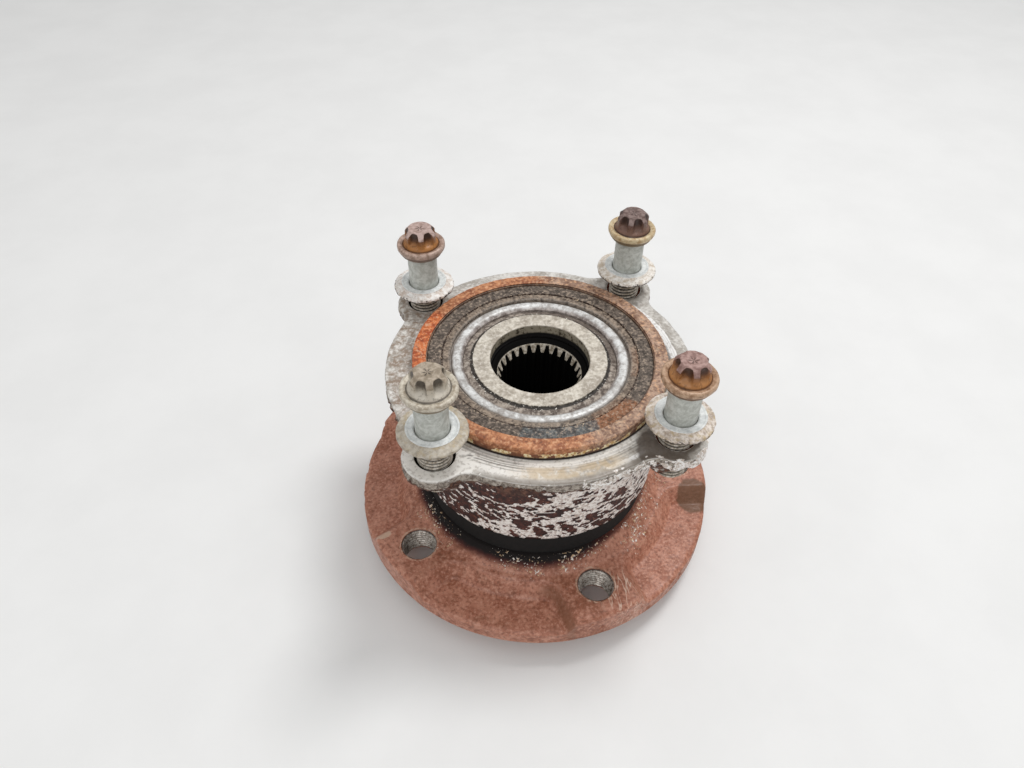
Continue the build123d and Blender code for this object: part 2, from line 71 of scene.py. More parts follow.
FLANGE_R = node_high("hub_flange").x
FLANGE_FRONT_Z = mounts["wheel_seat"]["pos_m"][2] / MM
NUT_SEAT_Z = mounts["nut_seat"]["pos_m"][2] / MM
NOSE_Z = node_high("hub_flange").z
WHEEL_PILOT_R = mounts["wheel_pilot"]["dims"]["r_mm"]
DISC_PILOT_R = mounts["disc_register"]["dims"]["r_mm"]
LUG_CIRCLE_R = mounts["lug_holes"]["dims"]["pcd_mm"] / 2
LUG_COUNT = mounts["lug_holes"]["dims"]["count"]
LUG_THREAD_R = mounts["lug_holes"]["dims"]["hole_r_mm"]
RIM_Z = node_low("outer_ring").z
RING_END_Z = node_high("outer_ring").z
MOUNT_FACE_Z = mounts["knuckle_face"]["pos_m"][2] / MM
INNER_FACE_Z = node_high("inner_ring").z
INNER_FOOT_Z = node_low("inner_ring").z
MOUNT_R = node_high("outer_ring").x
SPIGOT_R = mounts["knuckle_register"]["dims"]["r_mm"]
ENCODER_R = node_high("encoder_ring").x
ENCODER_TOP_Z = node_high("encoder_ring").z
ENCODER_FOOT_Z = node_low("encoder_ring").z

# ------------------------------------------------------------------ sizes of the looks, in millimetres
# Radii inside the bearing.
SPLINE_SEAT_R = 18.3
HUB_RACE_R = 26.2
HUB_SHOULDER_R = 28.6
RING_SHOULDER_R = 36.2
RING_RACE_R = 39.2
WHEEL_SEAL_BORE_R = 41.0
SEAL_BORE_R = 42.0
NUT_RECESS_R = 24.0
# Levels of the hub and places on the flange.
WHEEL_PILOT_TOP_Z = 5.5
PAD_TOP_Z = 23.5
WEB_Z = 17.5
PAD_WIDTH = 25.0
POCKET_R = 54.0
POCKET_CORNER_R = 7.0
POCKET_SIDE_RUN = 5.0
LUG_PHASE = math.radians(-3.0)
LAND_R = 46.6
LAND_FOOT_R = 52.5
LAND_Z = 28.5
NECK_R = 30.0
SPLINE_TEETH = 27
SPLINE_PHASE = math.radians(10.2)
SPLINE_TIP_R = 14.3
SPLINE_ROOT_R = 15.8
BARREL_R = 47.3
BOLT_CIRCLE_R = 57.8
EAR_R = 11.3
EAR_BLEND_R = 9.0
EAR_BOSS_R = 9.5
EAR_ANGLES = [math.pi / 4 + k * math.pi / 2 for k in range(4)]
MOUNT_WALL = 5.0
MOUNT_UNDERSIDE = 4.0
GUSSET_R = MOUNT_R - MOUNT_UNDERSIDE - BARREL_R
UNDERSIDE_Z = MOUNT_FACE_Z - MOUNT_WALL - MOUNT_UNDERSIDE
THREAD_PITCH = 1.5


# ---------------------------------------------------------------------------------------- noise
def lattice(ix, iy, iz, seed):
    """A repeatable pseudo-random number from 0 to 1 for each lattice point."""
    h = (ix * 374761393 + iy * 668265263 + iz * 1440662683 + seed * 1274126177) & 0xFFFFFFFF
    h = ((h ^ (h >> 13)) * 1274126177) & 0xFFFFFFFF
    h = ((h ^ (h >> 15)) * 2246822519) & 0xFFFFFFFF
    return ((h ^ (h >> 16)) & 0xFFFFFF) / 0xFFFFFF


def value_noise(points, size, seed=0):
    """Smooth noise from 0 to 1 with features about size millimetres wide."""
    scaled = points / (size * MM)
    cell = np.floor(scaled).astype(np.int64)
    t = scaled - cell
    t = t * t * (3 - 2 * t)
    total = np.zeros(points.shape[:-1])
    for corner in itertools.product((0, 1), repeat=3):
        weight = np.ones(points.shape[:-1])
        for axis in range(3):
            weight = weight * (t[..., axis] if corner[axis] else 1 - t[..., axis])
        at = cell + np.array(corner)
        total += weight * lattice(at[..., 0], at[..., 1], at[..., 2], seed)
    return total


def fractal(points, size, octaves=4, seed=0, gain=0.55):
    """Several octaves of noise, about 0.5 on average."""
    total, weight, span = 0.0, 1.0, 0.0
    for octave in range(octaves):
        total = total + weight * value_noise(points, size / 2**octave, seed + 31 * octave)
        span += weight
        weight *= gain
    return total / span


def smooth(low, high, value):
    """Smoothstep from 0 at low to 1 at high."""
    t = np.clip((value - low) / (high - low), 0, 1)
    return t * t * (3 - 2 * t)


def around(phi, centre, full, edge):
    """1 within full degrees of the angle centre, falling to 0 at edge degrees from it."""
    off = np.degrees(np.abs((phi - math.radians(centre) + math.pi) % (2 * math.pi) - math.pi))
    return smooth(edge, full, off)


def polar(p):
    """Each point's radius in millimetres, angle in radians and height in millimetres."""
    return np.hypot(p[..., 0], p[..., 1]) / MM, np.arctan2(p[..., 1], p[..., 0]), p[..., 2] / MM


def from_line(p, x, y):
    """Each point's distance from the vertical line at x and y, in millimetres."""
    return np.hypot(p[..., 0] / MM - x, p[..., 1] / MM - y)


def on_circle(radius, angle):
    """The x and y of a point on a circle about the spin axis."""
    return radius * math.cos(angle), radius * math.sin(angle)


def highest(values):
    """The largest of several arrays, point by point."""
    return np.maximum.reduce(list(values))


# ------------------------------------------------------------------------------- turned meshes
def rounded(corners, closed=True):
    """The points of an outline whose corners are (r, z, fillet radius, finish, step).

    Finish and step belong to the run that leaves the corner. Returns r, z and the finish of each run.
    """
    count = len(corners)
    arcs = []
    for i, (r, z, radius, _, _) in enumerate(corners):
        here = np.array((r, z), float)
        if radius <= 0 or (not closed and i in (0, count - 1)):
            arcs.append([here])
            continue
        back = np.array(corners[i - 1][:2], float) - here
        ahead = np.array(corners[(i + 1) % count][:2], float) - here
        back, ahead = back / np.linalg.norm(back), ahead / np.linalg.norm(ahead)
        half = math.acos(np.clip(back @ ahead, -1, 1)) / 2
        middle = (back + ahead) / np.linalg.norm(back + ahead)
        centre = here + middle * radius / math.sin(half)
        start = here + back * radius / math.tan(half) - centre
        end = here + ahead * radius / math.tan(half) - centre
        sweep = math.pi - 2 * half
        pieces = max(2, math.ceil(sweep * radius / corners[i][4] / 0.7))
        pieces = max(pieces, math.ceil(sweep / 0.4))
        arcs.append(
            [
                centre
                + (start * math.sin((1 - t) * sweep) + end * math.sin(t * sweep)) / math.sin(sweep)
                for t in np.linspace(0, 1, pieces + 1)
            ]
        )
    points, finish = [], []
    for i, arc in enumerate(arcs):
        label, step = corners[i][3], corners[i][4]
        for point in arc:
            points.append(point)
            finish.append(label)
        if not closed and i == count - 1:
            break
        following = arcs[(i + 1) % count][0]
        run = following - arc[-1]
        pieces = max(1, math.ceil(np.linalg.norm(run) / step))
        for k in range(1, pieces):
            points.append(arc[-1] + run * k / pieces)
            finish.append(label)
    points = np.array(points)
    return points[:, 0], points[:, 1], finish


def grid_normals(p, closed):
    """Unit normals of a grid of points, [rows, columns, 3], that wraps along its columns."""
    if closed:
        along = np.roll(p, -1, 0) - np.roll(p, 1, 0)
    else:
        along = np.gradient(p, axis=0)
    across = np.roll(p, -1, 1) - np.roll(p, 1, 1)
    n = np.cross(across, along)
    return n / np.maximum(np.linalg.norm(n, axis=2, keepdims=True), 1e-12)


def turned(name, corners, columns, materials, centre=(0, 0), closed=True, shape=None, relief=None,
           masks=None, phase=0.0, sharp=38):
    """A mesh turned about the vertical line through centre.

    shape(r, z, phi) may return other r and z for each grid point, masks(points, normals) gives named point
    values, and relief(points, normals, values) moves the points along their normals in millimetres.
    """
    r, z, finish = rounded(corners, closed)
    rows = len(r)
    phi = phase + np.arange(columns) * 2 * math.pi / columns
    big_r = np.repeat(r[:, None], columns, 1)
    big_z = np.repeat(z[:, None], columns, 1)
    if shape:
        big_r, big_z = shape(big_r, big_z, np.repeat(phi[None, :], rows, 0))
    p = np.stack(
        (centre[0] + big_r * np.cos(phi), centre[1] + big_r * np.sin(phi), big_z), axis=2
    ) * MM
    n = grid_normals(p, closed)
    if outward_sign(p, n) < 0:
        n = -n
    values = masks(p, n) if masks else {}
    if relief:
        p = p + n * (relief(p, n, values) * MM)[..., None]

    index = np.arange(rows * columns).reshape(rows, columns)
    last = rows if closed else rows - 1
    a = index[:last]
    b = np.roll(index, -1, 0)[:last]
    quads = np.stack((a, np.roll(a, -1, 1), np.roll(b, -1, 1), b), axis=2).reshape(-1, 4)
    points = p.reshape(-1, 3)
    slots = list(dict.fromkeys(finish))
    face_slot = np.repeat([slots.index(f) for f in finish[:last]], columns)
    triangles = np.zeros((0, 3), int)
    if not closed:
        poles = np.stack((p[0].mean(0), p[-1].mean(0)))
        low, high = len(points), len(points) + 1
        points = np.concatenate((points, poles))
        first, end = index[0], index[-1]
        triangles = np.concatenate(
            (
                np.stack((np.roll(first, -1), first, np.full(columns, low)), 1),
                np.stack((end, np.roll(end, -1), np.full(columns, high)), 1),
            )
        )
        face_slot = np.concatenate(
            (
                face_slot,
                np.full(columns, slots.index(finish[0])),
                np.full(columns, slots.index(finish[-1])),
            )
        )
    if signed_volume(points, quads) < 0:
        quads = quads[:, ::-1]
        triangles = triangles[:, ::-1]
    mesh = bpy.data.meshes.new(name)
    mesh.from_pydata(points, [], [list(f) for f in quads] + [list(f) for f in triangles])
    for slot in slots:
        mesh.materials.append(materials[slot])
    mesh.polygons.foreach_set("material_index", face_slot.astype(np.int32))
    for key, value in values.items():
        flat = value.reshape(-1)
        if not closed:
            flat = np.concatenate((flat, (value[0].mean(), value[-1].mean())))
        mesh.attributes.new(key, "FLOAT", "POINT").data.foreach_set("value", flat.astype(np.float32))
    mesh.shade_smooth()
    mesh.set_sharp_from_angle(angle=math.radians(sharp))
    piece = bpy.data.objects.new(name, mesh)
    bpy.context.scene.collection.objects.link(piece)
    return piece


def signed_volume(points, quads):
    """Six times the volume inside the quads, negative where they face inward."""
    a, b, c, d = (points[quads[:, k]] for k in range(4))
    return float(np.einsum("ij,ij->", a, np.cross(b, c)) + np.einsum("ij,ij->", a, np.cross(c, d)))


def outward_sign(p, n):
    """Positive where the grid's normals point out of the closed shape."""
    along = np.roll(p, -1, 0) - p
    across = np.roll(p, -1, 1) - p
    area = np.linalg.norm(np.cross(across, along), axis=2)
    return float(np.sign(np.einsum("ijk,ijk->", p - p.mean((0, 1)), n * area[..., None])))


def drill(piece, cutters):
    """Cuts closed cutter meshes out of a piece and removes them."""
    joined = bmesh.new()
    for cutter in cutters:
        joined.from_mesh(cutter.data)
    mesh = bpy.data.meshes.new("cutters")
    joined.to_mesh(mesh)
    joined.free()
    for cutter in cutters:
        bpy.data.objects.remove(cutter)
    tool = bpy.data.objects.new("cutters", mesh)
    bpy.context.scene.collection.objects.link(tool)
    modifier = piece.modifiers.new("holes", "BOOLEAN")
    modifier.operation = "DIFFERENCE"
    modifier.solver = "MANIFOLD"
    modifier.object = tool
    bpy.context.view_layer.update()
    evaluated = piece.evaluated_get(bpy.context.evaluated_depsgraph_get())
    cut = bpy.data.meshes.new_from_object(evaluated)
    piece.modifiers.clear()
    piece.data = cut
    bpy.data.objects.remove(tool)


# --------------------------------------------------------------------------------- material kit
def srgb(red, green, blue):
    """A colour written as 0 to 255 on screen, as Blender's linear values."""
    def linear(v):
        v /= 255
        return v / 12.92 if v <= 0.04045 else ((v + 0.055) / 1.055) ** 2.4
    return (linear(red), linear(green), linear(blue), 1.0)


class Finish:
    """A procedural material under construction.

    Lengths are in millimetres of the row frame. A colour is a socket or is written as 0 to 255.
    """

    def __init__(self, name, metallic=0.0, specular=0.5):
        self.material = bpy.data.materials.new(name)
        self.material.use_nodes = True
        self.tree = self.material.node_tree
        self.shader = self.tree.nodes["Principled BSDF"]
        self.shader.inputs["Metallic"].default_value = metallic
        self.shader.inputs["Specular IOR Level"].default_value = specular
        self.place = self.tree.nodes.new("ShaderNodeTexCoord").outputs["Object"]
        self.height = None

    def feed(self, socket, value):
        if isinstance(value, bpy.types.NodeSocket):
            self.tree.links.new(value, socket)
        else:
            socket.default_value = value

    def node(self, kind, **inputs):
        made = self.tree.nodes.new(kind)
        for key, value in inputs.items():
            self.feed(made.inputs[key], value)
        return made

    def noise(self, size, detail=4.0, roughness=0.55, distortion=0.0, stretch=None):
        """Noise from 0 to 1 with features about size millimetres across."""
        where = self.place
        if stretch:
            scale = self.tree.nodes.new("ShaderNodeVectorMath")
            scale.operation = "MULTIPLY"
            self.tree.links.new(self.place, scale.inputs[0])
            scale.inputs[1].default_value = stretch
            where = scale.outputs[0]
        made = self.node("ShaderNodeTexNoise", Vector=where, Scale=1 / (size * MM), Detail=detail,
                         Roughness=roughness, Distortion=distortion)
        return made.outputs["Fac"]

    def attribute(self, name):
        made = self.tree.nodes.new("ShaderNodeAttribute")
        made.attribute_name = name
        return made.outputs["Fac"]

    def math(self, operation, a, b=0.0, clamp=False):
        made = self.tree.nodes.new("ShaderNodeMath")
        made.operation = operation
        made.use_clamp = clamp
        self.feed(made.inputs[0], a)
        self.feed(made.inputs[1], b)
        return made.outputs[0]

    def times(self, a, b):
        return self.math("MULTIPLY", a, b)

    def step(self, value, low, high):
        """Smoothstep of value from 0 at low to 1 at high; low may be above high."""
        made = self.tree.nodes.new("ShaderNodeMapRange")
        made.interpolation_type = "SMOOTHSTEP"
        self.feed(made.inputs["Value"], value)
        low_to, high_to = (0.0, 1.0) if low < high else (1.0, 0.0)
        made.inputs["From Min"].default_value = min(low, high)
        made.inputs["From Max"].default_value = max(low, high)
        made.inputs["To Min"].default_value = low_to
        made.inputs["To Max"].default_value = high_to
        return made.outputs["Result"]

    def mix(self, factor, a, b):
        """Mixes two colours."""
        made = self.tree.nodes.new("ShaderNodeMix")
        made.data_type = "RGBA"
        self.feed(made.inputs["Factor"], factor)
        for key, colour in (("A", a), ("B", b)):
            self.feed(made.inputs[key], srgb(*colour) if isinstance(colour, tuple) else colour)
        return made.outputs["Result"]

    def blend(self, factor, a, b):
        """Mixes two numbers."""
        made = self.tree.nodes.new("ShaderNodeMix")
        made.data_type = "FLOAT"
        for key, value in (("Factor", factor), ("A", a), ("B", b)):
            self.feed(made.inputs[key], value)
        return made.outputs["Result"]

    def coat(self, colour, over, amount, share=1.0):
        """Lays another colour over a colour where amount is near 1, at most by a share."""
        return self.mix(self.times(amount, share), colour, over)

    def two_tone(self, dark, light, size, detail=5.0, roughness=0.64, distortion=0.0, low=0.36, high=0.64):
        """Patches of two colours, about size millimetres across."""
        return self.mix(self.step(self.noise(size, detail, roughness, distortion), low, high), dark, light)

    def wander(self, value, size, reach, detail=4.0):
        """Moves a value up or down by about reach, so that an edge made from it runs raggedly."""
        shift = self.math("SUBTRACT", self.noise(size, detail, 0.62), 0.5)
        return self.math("ADD", value, self.times(shift, reach))

    def patch(self, name, size, reach, low, high, detail=4.0):
        """A point value of the mesh, stepped from 0 at low to 1 at high along a ragged edge."""
        return self.step(self.wander(self.attribute(name), size, reach, detail), low, high)

    def band(self, value, centre, outer, inner):
        """1 within inner of the centre, falling to 0 at outer."""
        return self.step(self.math("ABSOLUTE", self.math("SUBTRACT", value, centre)), outer, inner)

    def speckle(self, colour, size, dark, light, amount, detail=2.0):
        """Scatters darker and lighter grains, about size millimetres apart, over a colour."""
        grain = self.noise(size, detail, 0.6)
        colour = self.coat(colour, dark, self.step(grain, 0.48, 0.34), amount)
        return self.coat(colour, light, self.step(grain, 0.52, 0.66), amount)

    def axis(self, which):
        """X or Z of the row frame, or the distance r from the spin axis, in millimetres."""
        x, y, z = self.node("ShaderNodeSeparateXYZ", Vector=self.place).outputs
        if which != "r":
            return self.times({"X": x, "Z": z}[which], 1 / MM)
        square = self.math("ADD", self.times(x, x), self.times(y, y))
        return self.times(self.math("SQRT", square), 1 / MM)

    def bump(self, height, depth):
        """Adds relief of depth millimetres where height goes from 0 to 1."""
        made = self.node("ShaderNodeBump", Height=height, Strength=1.0, Distance=depth * MM)
        if self.height:
            self.tree.links.new(self.height, made.inputs["Normal"])
        self.height = made.outputs["Normal"]
        self.tree.links.new(self.height, self.shader.inputs["Normal"])

    def done(self, colour, roughness):
        self.feed(self.shader.inputs["Base Color"], colour)
        self.feed(self.shader.inputs["Roughness"], roughness)
        return self.material


# ---------------------------------------------------------------------------------- materials
def rusted_forging():
    """Dusty red-brown rust of the wheel flange, finely speckled, with painted shadow on the skirt and salt crumbs.
    """
    f = Finish("rusted_forging")
    middle = f.noise(5.5, 5, 0.62, 0.3)
    colour = f.mix(f.step(middle, 0.36, 0.66), (168, 106, 82), (194, 134, 110))
    colour = f.coat(colour, (150, 90, 64), f.step(f.noise(24, 3, 0.6, 0.6), 0.48, 0.62), 0.6)
    colour = f.coat(colour, (126, 78, 54), f.step(f.noise(9, 5, 0.62, 1.0), 0.58, 0.70), 0.5)
    colour = f.speckle(colour, 1.25, (112, 66, 46), (212, 160, 138), 0.55)
    colour = f.speckle(colour, 3.2, (136, 82, 58), (206, 150, 126), 0.35, 4.0)
    # Painted shade on a pocket's slope beside a lug hole, facing away from the light.
    colour = f.coat(colour, (120, 76, 50), f.attribute("slope"), 0.6)
    colour = f.coat(colour, (98, 68, 42), f.patch("olive", 4, 0.7, 0.4, 0.7), 0.8)
    colour = f.coat(colour, (206, 176, 152), f.patch("worn", 1.6, 0.9, 0.45, 0.75), 0.8)
    # Painted shadow of the barrel on the skirt: dark red, then black.
    soot = f.wander(f.attribute("soot"), 3.0, 0.35)
    colour = f.coat(colour, (72, 22, 12), f.step(soot, 0.1, 0.75))
    colour = f.coat(colour, (16, 7, 5), f.step(soot, 0.6, 0.95))
    # Salt crumbs in clusters round the land.
    level = f.math("SUBTRACT", 0.80, f.times(f.attribute("crumb"), 0.24))
    crumbs = f.math("MULTIPLY", f.math("SUBTRACT", f.noise(0.95, 2, 0.6, 0.6), level), 14, True)
    salt = f.two_tone((226, 190, 150), (252, 244, 234), 2.0, 2, 0.55, 0.0, 0.42, 0.58)
    colour = f.coat(colour, salt, crumbs)
    # Fine scratches near one bolt hole.
    line = f.band(f.noise(2.2, 2, 0.5, 0.0, (1.0, 0.14, 1.0)), 0.5, 0.030, 0.010)
    colour = f.coat(colour, (232, 204, 184), f.times(f.attribute("scratch"), line), 0.75)
    f.bump(middle, 0.3)
    f.bump(f.noise(1.25, 2, 0.6), 0.10)
    f.bump(crumbs, 0.15)
    rough = f.blend(f.step(middle, 0.35, 0.7), 0.52, 0.36)
    return f.done(colour, f.blend(soot, rough, 0.9))


def black_recess():
    """Black painted shade in the gaps; on the right, where the light reaches in, dusty red-brown."""
    f = Finish("shadowed_steel", specular=0.08)
    black = f.two_tone((8, 6, 5), (22, 14, 11), 2, 3, 0.55, 0.0, 0.4, 0.6)
    dusty = f.two_tone((64, 26, 16), (126, 70, 48), 1.6, 4, 0.65, 0.0, 0.4, 0.62)
    lit = f.step(f.wander(f.axis("X"), 5, 16), 12.0, 36.0)
    return f.done(f.coat(black, dusty, lit, 0.85), 0.85)


def flaking_barrel():
    """Dark maroon rust under white flakes of dead coating."""
    f = Finish("flaking_barrel")
    fine = f.noise(1.0, 3, 0.7)
    base = f.two_tone((36, 13, 9), (82, 38, 28), 2.0, 4, 0.62, 0.0, 0.38, 0.64)
    base = f.coat(base, (140, 92, 74), f.step(f.noise(1.3, 3), 0.58, 0.68), 0.7)
    bare = f.two_tone((66, 34, 24), (112, 72, 54), 4, 4, 0.6, 0.0, 0.38, 0.62)
    bare = f.speckle(bare, 1.4, (40, 20, 14), (146, 108, 88), 0.5)
    base = f.coat(base, bare, f.attribute("bare"), 0.9)
    flake = f.math("ADD", f.attribute("flake"), f.times(f.math("SUBTRACT", fine, 0.5), 0.5))
    cream = f.two_tone((186, 164, 152), (248, 241, 235), 1.1, 4, 0.65, 0.0, 0.34, 0.58)
    colour = f.coat(base, cream, f.step(flake, 0.42, 0.58))
    # Painted shade, near black, at the barrel's lower rim by the gap.
    colour = f.coat(colour, (10, 5, 4), f.attribute("soot"))
    f.bump(fine, 0.15)
    f.bump(f.noise(1.3, 4, 0.65), 0.2)
    return f.done(colour, 0.6)


def machined_face():
    """Turned steel of the mount flange: pale, stained, with a wall eaten to grey, brown and white."""
    f = Finish("machined_face", 0.05)
    fine = f.noise(1.0, 3, 0.68)
    colour = f.two_tone((176, 170, 162), (222, 219, 213), 6, 5, 0.6, 0.5, 0.36, 0.62)
    mottled = f.times(f.attribute("mottle"), f.step(f.noise(3.2, 5, 0.66), 0.40, 0.60))
    colour = f.coat(colour, (146, 126, 108), mottled)
    # Painted light: near-white where light falls on the face's front left and front.
    colour = f.coat(colour, (244, 241, 235), f.attribute("bright"), 0.9)
    # Painted highlights: white patches and a thin streak.
    colour = f.coat(colour, (250, 249, 247), f.patch("gloss", 3.0, 0.8, 0.5, 0.62))
    colour = f.speckle(colour, 1.3, (142, 130, 116), (250, 247, 242), 0.4)
    stained = f.times(f.attribute("stain"), f.step(f.noise(4.5, 4, 0.6, 0.6), 0.30, 0.55))
    colour = f.coat(colour, (206, 184, 150), stained, 0.75)
    colour = f.coat(colour, (134, 124, 113), f.patch("shade", 3.4, 0.5, 0.25, 0.9), 0.85)
    # Grime round the bolts, and the front right bolt's painted shadow.
    colour = f.coat(colour, (92, 80, 70), f.patch("grime", 2.6, 0.9, 0.42, 0.8), 0.85)
    # The wall: streaks, then brown pits, then salt crust.
    wall = f.attribute("wall")
    colour = f.coat(colour, f.two_tone((104, 92, 82), (182, 172, 160), 1.5, 5, 0.7, 0.4, 0.38, 0.60), wall)
    brown = f.mix(f.step(fine, 0.4, 0.6), (54, 28, 20), (112, 78, 60))
    colour = f.coat(colour, brown, f.patch("rust", 2.2, 1.3, 0.50, 0.66, 5.0))
    crust = f.wander(f.attribute("crust"), 1.0, 0.7, 3.0)
    salt = f.mix(f.step(fine, 0.4, 0.6), (204, 190, 178), (252, 249, 246))
    colour = f.coat(colour, salt, f.step(crust, 0.47, 0.60))
    colour = f.coat(colour, (62, 54, 46), f.attribute("groove"), 0.85)
    # Painted shade in the corner at the spigot's foot.
    colour = f.coat(colour, (44, 28, 20), f.attribute("soot"))
    f.bump(f.math("FRACT", f.times(f.axis("r"), 1.9)), 0.03)
    f.bump(f.noise(1.5, 5, 0.7, 0.4), 0.12)
    return f.done(colour, f.blend(f.step(f.math("ADD", crust, wall), 0.4, 0.9), 0.36, 0.7))


def rusted_spigot():
    """Orange rust of the spigot's rim: vivid at the left, browner behind, tan at the right."""
    f = Finish("rusted_spigot")
    fine = f.noise(0.9, 4, 0.65)
    middle = f.noise(3.4, 5, 0.64, 0.5)
    warm = f.mix(f.step(middle, 0.36, 0.64), (150, 88, 54), (198, 134, 92))
    dull = f.mix(f.step(middle, 0.36, 0.64), (132, 100, 80), (188, 156, 134))
    colour = f.mix(f.patch("dull", 9, 0.9, 0.35, 0.7), warm, dull)
    vivid = f.mix(f.step(middle, 0.4, 0.6), (166, 74, 34), (212, 118, 64))
    colour = f.coat(colour, vivid, f.patch("vivid", 5, 0.7, 0.35, 0.65))
    colour = f.coat(colour, (206, 182, 156), f.step(f.noise(6, 4, 0.6, 0.6), 0.58, 0.68), 0.5)
    colour = f.speckle(colour, 1.3, (96, 54, 34), (226, 178, 138), 0.6)
    # Painted shade: dark brown on the lower part of the spigot's outer wall.
    colour = f.coat(colour, (92, 50, 28), f.step(f.attribute("low"), 0.4, 1.0), 0.7)
    gold = f.mix(f.step(fine, 0.4, 0.6), (198, 156, 92), (250, 236, 196))
    colour = f.coat(colour, gold, f.patch("crumb", 1.1, 0.9, 0.52, 0.64, 3.0))
    # Painted shade in the corner at the spigot's foot and over the dirt in the gap.
    colour = f.coat(colour, (40, 24, 16), f.attribute("soot"))
    f.bump(fine, 0.08)
    f.bump(middle, 0.15)
    return f.done(colour, f.blend(middle, 0.42, 0.66))


def encoder_face():
    """Magnetised rubber under grime: warm grey with a fine grain, rusty patches and a slate one."""
    f = Finish("encoder_face", specular=0.3)
    r = f.axis("r")
    colour = f.two_tone((78, 69, 62), (116, 104, 94), 2.2, 5, 0.66)
    colour = f.coat(colour, (158, 104, 68), f.patch("rusty", 3.5, 0.9, 0.42, 0.7), 0.75)
    slate = f.patch("slate", 3, 0.9, 0.42, 0.66)
    blue = f.two_tone((78, 78, 78), (112, 116, 116), 2.5, 3, 0.55, 0.0, 0.45, 0.6)
    colour = f.coat(colour, blue, slate, 0.85)
    inner = f.two_tone((104, 90, 78), (156, 140, 124), 2.6, 5, 0.65, 0.0, 0.38, 0.62)
    colour = f.coat(colour, inner, f.step(r, 36.6, 35.4), 0.75)
    colour = f.coat(colour, (150, 142, 134), f.step(r, 34.4, 33.4), 0.6)
    # A dotted dark line in the groove, a darker outer edge and crumbs beside the line.
    ragged = f.math("ADD", r, f.math("SUBTRACT", f.noise(1.2, 3), 0.5))
    line = f.times(f.band(ragged, 36.3, 0.5, 0.15), f.step(f.noise(1.5, 2, 0.5), 0.36, 0.5))
    colour = f.coat(colour, (52, 30, 22), line, 0.85)
    colour = f.coat(colour, (62, 46, 36), f.step(ragged, 41.0, 41.5), 0.6)
    colour = f.speckle(colour, 1.05, (44, 37, 32), (178, 160, 142), 0.62)
    crumbs = f.times(f.band(r, 36.6, 1.4, 0.3), f.step(f.noise(0.8, 2, 0.6), 0.63, 0.69))
    colour = f.coat(colour, (222, 200, 172), crumbs)
    f.bump(f.noise(1.05, 2, 0.6), 0.12)
    f.bump(f.noise(2.2, 5, 0.66), 0.12)
    return f.done(colour, f.blend(slate, 0.6, 0.4))


def slinger_face():
    """Satin stainless bead, brushed by dirt, whose lavender-grey inner slope runs to a seam of painted shade."""
    f = Finish("slinger_face", 0.1)
    r = f.axis("r")
    colour = f.two_tone((176, 172, 168), (226, 226, 224), 4, 5, 0.64, 0.4)
    colour = f.speckle(colour, 1.5, (140, 132, 126), (246, 248, 248), 0.45)
    slope = f.two_tone((112, 98, 92), (176, 166, 160), 3.0, 5, 0.64, 0.5, 0.38, 0.62)
    slope = f.speckle(slope, 1.3, (80, 66, 58), (214, 206, 198), 0.5)
    colour = f.coat(colour, slope, f.step(f.wander(r, 4, 1.2), 30.0, 28.9), 0.9)
    colour = f.coat(colour, (132, 116, 102), f.step(f.wander(r, 3, 1.4), 32.0, 32.9), 0.7)
    dirt = f.step(f.noise(1.6, 5, 0.7), 0.58, 0.72)
    colour = f.coat(colour, (118, 102, 90), dirt, 0.55)
    f.bump(f.noise(1.2, 4, 0.6), 0.08)
    return f.done(colour, f.blend(dirt, 0.42, 0.62))


def inner_race_face():
    """Ground ring face, dulled to a warm grey, over a stained bore painted black with shade below, by a seam of
    painted shade.
    """
    f = Finish("inner_race_face", 0.05)
    r = f.axis("r")
    z = f.axis("Z")
    colour = f.two_tone((170, 160, 146), (214, 206, 192), 4.5, 5, 0.6, 0.5, 0.34)
    colour = f.coat(colour, (138, 126, 110), f.step(f.noise(1.8, 5, 0.7), 0.58, 0.72), 0.5)
    colour = f.speckle(colour, 1.2, (136, 124, 108), (242, 237, 228), 0.42)
    wall = f.step(z, INNER_FACE_Z - 0.2, INNER_FACE_Z - 0.7)
    pitted = f.two_tone((74, 64, 50), (172, 162, 142), 1.5, 5, 0.7, 0.0, 0.36, 0.52)
    colour = f.coat(colour, pitted, wall)
    # Painted shade: black deep in the bore.
    deep = f.step(f.wander(z, 2.0, 0.8), INNER_FACE_Z - 3.2, INNER_FACE_Z - 4.2)
    colour = f.coat(colour, (12, 9, 8), f.times(deep, f.step(r, 19.5, 19.0)))
    slope = f.two_tone((96, 84, 76), (172, 160, 148), 2.8, 5, 0.64, 0.5, 0.36, 0.62)
    slope = f.speckle(slope, 1.2, (58, 48, 42), (206, 196, 184), 0.5)
    slope = f.coat(slope, (84, 72, 64), f.patch("shade", 4, 0.8, 0.4, 0.8), 0.7)
    colour = f.coat(colour, slope, f.step(r, 25.0, 25.4))
    # Painted shade: a dark ragged line at the step.
    colour = f.coat(colour, (30, 24, 20), f.band(f.wander(r, 1.5, 1.1, 3.0), 25.5, 0.75, 0.35), 0.92)
    salt = f.times(f.band(r, 25.7, 1.5, 0.5), f.step(f.noise(0.8, 2, 0.6), 0.64, 0.69))
    colour = f.coat(colour, (244, 240, 230), salt)
    f.bump(f.noise(1.4, 5, 0.7), 0.08)
    return f.done(colour, f.blend(wall, 0.45, 0.7))


def spline_steel():
    """Tooth ends catch the light; everything round and below them is painted black, for shade and grease."""
    f = Finish("spline_steel", specular=0.1)
    colour = f.two_tone((146, 134, 116), (216, 208, 194), 1.2, 4, 0.6, 0.0, 0.36, 0.62)
    return f.done(f.coat(colour, (9, 8, 7), f.step(f.attribute("tooth"), 0.72, 0.42)), 0.7)


